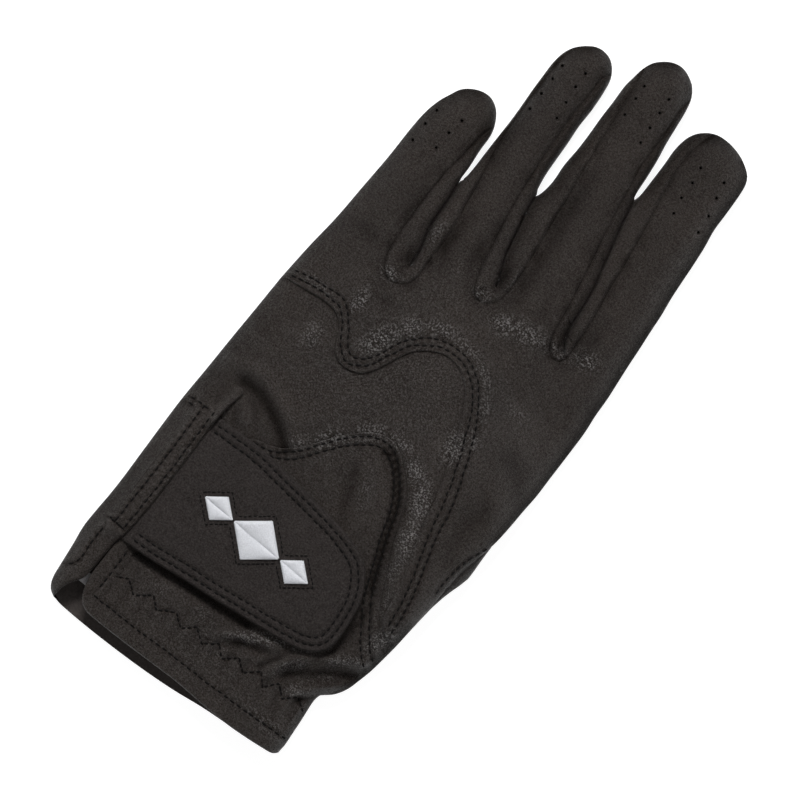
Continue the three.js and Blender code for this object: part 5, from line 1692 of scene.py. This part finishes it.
emit("slit_facing_leather", facing_part, np.ones(len(facing_part.F), bool), ["slit_facing"], body="hand", wall=on_line(fedge), wall_depth=facing_depth, inner=0.5)

# ------------------------------------------------------------------ closure tab
TAB_BEND = ("hand", "tab", world((-38.6, -65.8)), world((-32.8, -65.8)))
tab_line = curve(TAB_OUT, 0.7)
for key, off in (("a", -1.85), ("b", -3.95)):
    q = shift_line(tab_line, off)
    q = q[q[:, 0] > -35.9]
    q = q[to_line(q, tab_line)[0] > abs(off) * 0.97]
    TAB_ROWS[key] = curve(q[::3], 0.5)
tab_boundary = tab_line[::-1]
TAB_RINGS = [(tab_line, (-0.06, -0.15, -0.28, -0.45, -0.65, -0.9))] + [(resample(l, 0.8), (0,) + ROW_OFFS) for l in TAB_ROWS.values()]


def tab_top(P):
    x = P[:, 0]
    root = smooth((x + 38.5) / 8)
    d = to_line(P, TAB_EDGE)[0]
    thick = 0.95 + 0.95 * root
    z = tab_low(P) + 0.5 + (thick - 0.5) * (0.35 + 0.65 * roll(d / 0.75))
    painted_shading = np.zeros(len(P))
    z += 0.16 * smooth((d - 4.2) / 3) * root
    # painted shade in the stitch grooves
    for line in TAB_ROWS.values():
        g, c = groove(P, line, 0.32, 0.44, 0.16)
        z += g
        painted_shading = np.maximum(painted_shading, 0.12 * c)
    q = motif_frame(P)
    edge = motif_distance(q)
    z += -0.26 * gauss(edge - 1.5, 0.6) + 0.09 * waves(P, RIPPLES)
    return z, painted_shading


MOTIF_C = np.array([-7, -64.6])
LOZENGES = [(-13.8, 5.2, 4.3), (0.0, 8.4, 7.2), (13.8, 5.2, 4.3)]      # centre along the row, half length, half height


def motif_frame(P):
    a = -0.05
    q = np.asarray(P, float) - MOTIF_C
    return np.stack([q[:, 0] * math.cos(a) + q[:, 1] * math.sin(a), -q[:, 0] * math.sin(a) + q[:, 1] * math.cos(a)], 1)


def motif_plan(q):
    a = -0.05
    q = np.asarray(q, float)
    return np.stack([q[..., 0] * math.cos(a) - q[..., 1] * math.sin(a) + MOTIF_C[0], q[..., 0] * math.sin(a) + q[..., 1] * math.cos(a) + MOTIF_C[1]], -1)


def motif_distance(q):
    """Roughly the distance outside the nearest lozenge, negative inside."""
    best = np.full(len(q), 1e9)
    for c, a, b in LOZENGES:
        v = (np.abs(q[:, 0] - c) / a + np.abs(q[:, 1]) / b - 1) * a * b / math.hypot(a, b)
        best = np.minimum(best, v)
    return best


slab("tab_leather_outer", tab_boundary, lambda P: tab_low(P) + 0.5, tab_top, LEATHER_TAB, ["tab_outer"], bend=TAB_BEND,
     rings=TAB_RINGS, low_mat=FLESH)
inset = shift_line(tab_line, -0.45)
inset = inset[to_line(inset, tab_line)[0] > 0.43][::-1]
slab("tab_lining_cloth", inset, tab_low, lambda P: tab_low(P) + 0.46, LINING, ["tab_lining"], bend=TAB_BEND, cell=2.2)
sew("tab_stitches", [stitch_row(l, tab_top) for l in TAB_ROWS.values()], bend=TAB_BEND)

# raised satin embroidery: strands run from each lozenge's middle line to its edges
strands, edge_stitch = [], []
for c, a, b in LOZENGES:
    for side in (1, -1):
        for u0 in np.arange(-a * 0.985, a * 0.985, 0.34):
            d = np.array([0.42, 1.0])
            # |u0 + d0 t| / a + d1 t / b = 1
            t1 = (1 - u0 / a) / (d[0] / a + d[1] / b)
            if u0 + d[0] * t1 < 0:
                t1 = (1 + u0 / a) / (d[1] / b - d[0] / a)
            if t1 < 0.25:
                continue
            t = np.linspace(0, 1, 9)
            u = c + u0 + d[0] * t1 * t
            v = side * (d[1] * t1 * t - 0.12)
            pl = motif_plan(np.stack([u, v], 1))
            z = at(tab_top, pl) * 0.3 + at(tab_top, pl).mean() * 0.7
            bulge = min(0.62, 0.18 + 0.16 * t1) * np.sin(np.pi * np.clip(t, 0.02, 0.98)) ** 0.6
            strands.append(np.column_stack([pl, z + 0.22 + bulge]))
    corners = np.array([(c - a - 1.9, 0), (c, b + 1.55), (c + a + 1.9, 0), (c, -b - 1.55), (c - a - 1.9, 0)])
    edge_stitch.append(corners)
V, F, N = tubes(np.array(strands), 0.235, ends=(0.6, 0.92))
ob = make_object("tab_motif_strands", V, F, N, {"painted_shading": np.zeros(len(V))}, WHITE_THREAD)
attach(ob, ["tab_motif"], bend=TAB_BEND)
ring = []
for k, cs in enumerate(edge_stitch):
    line = resample(cs, 0.3)
    q = line[motif_distance(line) > 1.0]
    cuts = np.nonzero(np.hypot(*np.diff(q, axis=0).T) > 0.8)[0] + 1
    for piece in np.split(q, cuts):
        if len(piece) > 5:
            ring.append(stitch_row(motif_plan(piece), tab_top, pitch=1.35, length=1.05))
sew("tab_motif_border", ring, radius=0.2, bend=TAB_BEND)

# ------------------------------------------------------------------ hook and loop
LOOP = curve([(-24, -53), (-22, -51.5), (-3, -53), (16, -54.5), (20.5, -58), (23, -66), (23, -73), (20, -76.5), (0, -78.5), (-22, -80.5), (-24, -79), (-24, -66), (-24, -53.4)], 1.0)
HOOK = curve([(-4, -52.8), (-2, -50.8), (6, -52.2), (13.6, -53.4), (18.6, -57), (22.2, -63), (23.2, -70), (22.2, -75.2), (18, -77.2), (8, -78.4), (-2, -79.4), (-4, -77.6), (-4, -65), (-4, -53.2)], 1.0)
pile_rng = np.random.default_rng(5)


def loop_top(P):
    d = to_line(P, np.vstack([LOOP, LOOP[:1]]))[0]
    return at(wrist_z, P) + 0.30 + 0.42 * roll(d / 1.2) + 0.07 * pile_rng.standard_normal(len(P)) * (d > 0.8) - 0.22 * gauss(d - 1.6, 0.35)


slab("loop_patch_pile", LOOP[::-1], lambda P: at(wrist_z, P) + 0.02, loop_top, PILE, ["loop_patch"], body="hand", cell=0.85,
     rings=[(LOOP, (-0.3, -0.8, -1.6, -2.2))])
hook_under = lambda P: tab_low(P) - 0.30
slab("hook_patch_tape", HOOK[::-1], hook_under, lambda P: tab_low(P) + 0.01, HOOKS, ["hook_patch"], bend=TAB_BEND, cell=2.0)
gx, gy = np.meshgrid(np.arange(-3, 23, 1.25), np.arange(-79, -50, 1.25))
H = np.stack([gx.ravel() + 0.6 * (np.round((gy.ravel() + 79) / 1.25) % 2), gy.ravel()], 1)
H = H[inside(H, HOOK)]
H = H[to_line(H, np.vstack([HOOK, HOOK[:1]]))[0] > 1.0]
zz = at(hook_under, H)
C = np.stack([np.column_stack([H[:, 0] + 0.18 * k * k, H[:, 1], zz + 0.05 - 0.14 * k]) for k in (0, 0.8, 1.5, 2.0, 2.2)], 1)
V, F, N = tubes(C + np.array([0, 1e-4, 0]) * np.arange(5)[None, :, None], 0.13, sides=5, ends=(1.0,))
attach(make_object("hook_patch_hooks", V, F, N, {"painted_shading": np.zeros(len(V))}, HOOKS), (), bend=TAB_BEND)

# ------------------------------------------------------------------ elastic and label inside the cuff
ELASTIC_LINE = curve([(-33, -92), (-33, -99.5), (0, -99.4), (32, -99), (32, -91.5), (0, -91.8), (-32.6, -92)], 1.2)


def wrist_under(P):
    return top_base(P) - 0.95


slab("wrist_elastic_tape", ELASTIC_LINE, lambda P: wrist_under(P) - 0.75, lambda P: wrist_under(P) - 0.05, ELASTIC, ["wrist_elastic"], body="hand", cell=1.6)
LABEL_LINE = resample([(-44, -101.0), (-44, -104.2), (-33, -104.3), (-33, -100.9), (-44, -101.0)], 0.6)[:-1]
slab("inner_label_satin", LABEL_LINE, lambda P: at(palm_z, P) + 0.85 + 3.6 * smooth((P[:, 0] + 43.5) / 4), lambda P: at(palm_z, P) + 1.25 + 3.6 * smooth((P[:, 0] + 43.5) / 4),
     SATIN, ["inner_label"], body="hand", cell=0.8)

# ------------------------------------------------------------------ stitches on the hand
hand_rows = []
for k, fn in (("w1a", knuckle_z), ("w1b", knuckle_z), ("thumb", knuckle_z), ("w2a", wrist_z), ("w2b", wrist_z), ("hem", wrist_z), ("wcol", wrist_z),
              ("colA", facing_z), ("colB", facing_z), ("colC", facing_z), ("tackA", facing_z), ("tackB", facing_z)):
    line = ROWS[k]
    if k in ("w2a", "w2b"):
        line = line[inside(line, wrist_boundary)]
    hand_rows.append(stitch_row(line, fn))
hand_rows.append(stitch_row(ROWS["tackC"], facing_z, pitch=0.75, length=0.7))
zz_fine = resample(ZIGZAG, 0.25)
hand_rows.append(stitch_row(zz_fine, wrist_z, pitch=1.65, length=1.2))
sew("hand_stitches", hand_rows, body="hand")

# ------------------------------------------------------------------ thumb, folded flat under the palm
THUMB_OUT = curve([(46.3, -24.6), (44.6, -19.0), (42.0, -13.6), (39.2, -9.4), (36.2, -5), (33.4, 0), (29.4, 6), (26, 9.8), (21.6, 12), (17, 11.8), (13, 10),
                   (10, 7.2), (8.6, 3.4), (9.4, -4), (12, -11), (15, -17), (19.5, -26), (24, -35), (28.4, -44), (33, -52), (37.6, -57.4), (42.2, -60.2)], STEP)
root_line = OUTLINE2[(OUTLINE2[:, 0] > 40) & (OUTLINE2[:, 1] > -60.2) & (OUTLINE2[:, 1] < -25.2)][::-1]
BULGE = [(-60.5, 0.15), (-55, 0.25), (-50, 0.45), (-46, 1.0), (-43, 1.6), (-40, 2.3), (-36.7, 2.7), (-34, 2.2), (-31, 1.4), (-28, 0.6), (-25, 0.1)]


def bulge_at(y):
    t = np.interp(y, [b[0] for b in BULGE], [b[1] for b in BULGE])
    return t


def root_out(line):
    n = side_normals(line)
    n[n[:, 0] < 0] *= -1
    return n


root_edge = root_line + root_out(root_line) * (0.88 * bulge_at(root_line[:, 1]))[:, None]
thumb_boundary = np.vstack([THUMB_OUT, root_edge])
closed_thumb = np.vstack([thumb_boundary, thumb_boundary[:1]])
free_thumb = THUMB_OUT


def thumb_wrinkle(P):
    return 0.10 * waves(P, RIPPLES) + 0.10 * waves(P, WAVES)


def thumb_low(P):
    d = to_line(P, closed_thumb)[0]
    z = 2.5 - 2.42 * roll(d / 4.6)
    # painted shade along the thumb's seam
    g, c = groove(P, thumb_seam, -0.42, 0.38, -0.1)
    soft = smooth((d - 4) / 5)
    return z + g * smooth(d / 2) + soft * 0.12 * (thumb_wrinkle(P) + 0.2), c


thumb_seam = shift_line(THUMB_OUT, -2.3)
if not inside(thumb_seam[len(thumb_seam) // 2:len(thumb_seam) // 2 + 1], thumb_boundary)[0]:
    thumb_seam = shift_line(THUMB_OUT, 2.3)


def thumb_high(P):
    d = to_line(P, closed_thumb)[0]
    return 2.5 + 2.35 * roll(d / 4.6) - smooth((d - 4) / 5) * 0.08 * (1 + thumb_wrinkle(P)), np.zeros(len(P))


order = 1 if (np.roll(thumb_boundary, -1, 0)[:, 1] * thumb_boundary[:, 0] - np.roll(thumb_boundary, -1, 0)[:, 0] * thumb_boundary[:, 1]).sum() > 0 else -1
tb = thumb_boundary[::order]
inward = 1
trings = [(tb, [inward * 4.6 * (1 - math.cos(math.radians(a))) for a in (8, 16, 26, 38, 50, 64, 80)])]
thumb_region = mesh_region(tb, rings=trings + [(thumb_seam, (-0.9, -0.5, -0.2, 0.2, 0.5, 0.9))], cell=CELL * 1.3)
print("thumb", len(thumb_region[0]))
low_part = lay(thumb_region, thumb_low, flip=True)
high_part = lay(thumb_region, thumb_high)
# the web that joins the thumb to the seam on the back of the hand
ys = root_line[::-1]
ROWS_UP = 15
web_V, web_F = [], []
for i, p in enumerate(ys):
    topz = float(mid_height(np.array([p]))[0])
    taper = float(smooth(np.array([(-25.2 - p[1]) / 5 + 0.3]))[0] * smooth(np.array([(p[1] + 60.2) / 5 + 0.2]))[0])
    out = root_out(ys)[i]
    big = float(bulge_at(p[1]))
    for k in range(ROWS_UP):
        v = k / (ROWS_UP - 1)
        z = 2.5 + (topz - 2.5) * v * taper
        if v < 0.3:
            b = 0.88 + 0.12 * math.sin(0.5 * math.pi * v / 0.3)
        else:
            b = math.sqrt(max(0.0, 1 - ((v - 0.3) / 0.7) ** 2))
        b = b * big - 0.1 * v
        web_V.append((p[0] + out[0] * b, p[1] + out[1] * b, z))
for i in range(len(ys) - 1):
    for k in range(ROWS_UP - 1):
        a = i * ROWS_UP + k
        web_F.append((a, a + ROWS_UP, a + ROWS_UP + 1))
        web_F.append((a, a + ROWS_UP + 1, a + 1))
web_F = np.array(web_F)
web_part = Part(np.array(web_V), web_F, np.zeros(len(web_V)))
fn = np.cross(web_part.V[web_F[0, 1]] - web_part.V[web_F[0, 0]], web_part.V[web_F[0, 2]] - web_part.V[web_F[0, 0]])
if fn[0] < 0:
    web_part.F = web_F[:, ::-1]
shared_normals([low_part, high_part])
shared_normals([web_part])
THUMB_BEND = ("hand", "thumb", world((45, -45), 8.8), world((45, -45), 5.15))
for nm2, parts, node in (("thumb_front_leather", [low_part, web_part], "thumb_front"), ("thumb_back_leather", [high_part], "thumb_back")):
    V = np.vstack([q.V for q in parts])
    N = np.vstack([q.N for q in parts])
    painted_shading = np.concatenate([q.painted_shading for q in parts])
    F, base = [], 0
    for q in parts:
        F += [tuple(f + base) for f in q.F]
        base += len(q.V)
    # painted edge shade on the thumb's sides that face outwards
    tilt = N[:, 0] / np.maximum(np.linalg.norm(N, axis=1), 1e-9)
    ob = make_object(nm2, V, F, N, {"painted_shading": painted_shading, "painted_edge_shade": 0.85 * smooth((tilt - 0.35) / 0.6)}, LEATHER)
    attach(ob, [node], bend=THUMB_BEND)


# ------------------------------------------------------------------ camera, floor and light
floor_me = bpy.data.meshes.new("floor")
floor_me.from_pydata([(-6, -6, 0), (6, -6, 0), (6, 6, 0), (-6, 6, 0)], [], [(0, 1, 2, 3)])
floor = bpy.data.objects.new("floor", floor_me)
bpy.context.scene.collection.objects.link(floor)
floor.location = (0, 0, -0.0002)
fm = bpy.data.materials.new("pale_floor")
fm.use_nodes = True
fb = fm.node_tree.nodes["Principled BSDF"]
fb.inputs["Base Color"].default_value = (0.30, 0.30, 0.30, 1)
fb.inputs["Emission Color"].default_value = (1, 1, 1, 1)
fb.inputs["Emission Strength"].default_value = 0.90
fb.inputs["Roughness"].default_value = 0.9
fb.inputs["Specular IOR Level"].default_value = 0.1
floor_me.materials.append(fm)

w = bpy.data.worlds.new("studio")
bpy.context.scene.world = w
w.use_nodes = True
w.node_tree.nodes["Background"].inputs["Color"].default_value = (1, 1, 1, 1)
w.node_tree.nodes["Background"].inputs["Strength"].default_value = 0.24


def area(name, loc, target, size, power):
    li = bpy.data.lights.new(name, "AREA")
    li.size = size
    li.energy = power
    ob = bpy.data.objects.new(name, li)
    bpy.context.scene.collection.objects.link(ob)
    ob.location = loc
    ob.rotation_euler = (Vector(target) - Vector(loc)).to_track_quat("-Z", "Y").to_euler()
    return ob


area("key", (-0.36, 0.52, 0.78), (0, 0, 0), 0.28, 11.5)
area("fill", (0.3, -0.2, 1.0), (0, 0, 0), 0.5, 1.5)

cam_data = bpy.data.cameras.new("camera")
cam = bpy.data.objects.new("camera", cam_data)
bpy.context.scene.collection.objects.link(cam)
bpy.context.scene.camera = cam
cam_data.sensor_width = 36
cam_data.sensor_fit = "HORIZONTAL"
cam_data.lens = 220
cam_data.clip_start = 0.01
cam_data.clip_end = 20
VIEW_W = 0.22535
dist = VIEW_W * 220 / 36
cam.location = ((1.0 + SHIFT[0]) * MM, (-8.9 + SHIFT[1]) * MM, 0.0065 + dist)
cam.rotation_euler = (0, 0, math.radians(37.5))
cam_data.dof.use_dof = False
bpy.context.scene.view_settings.view_transform = "Standard"
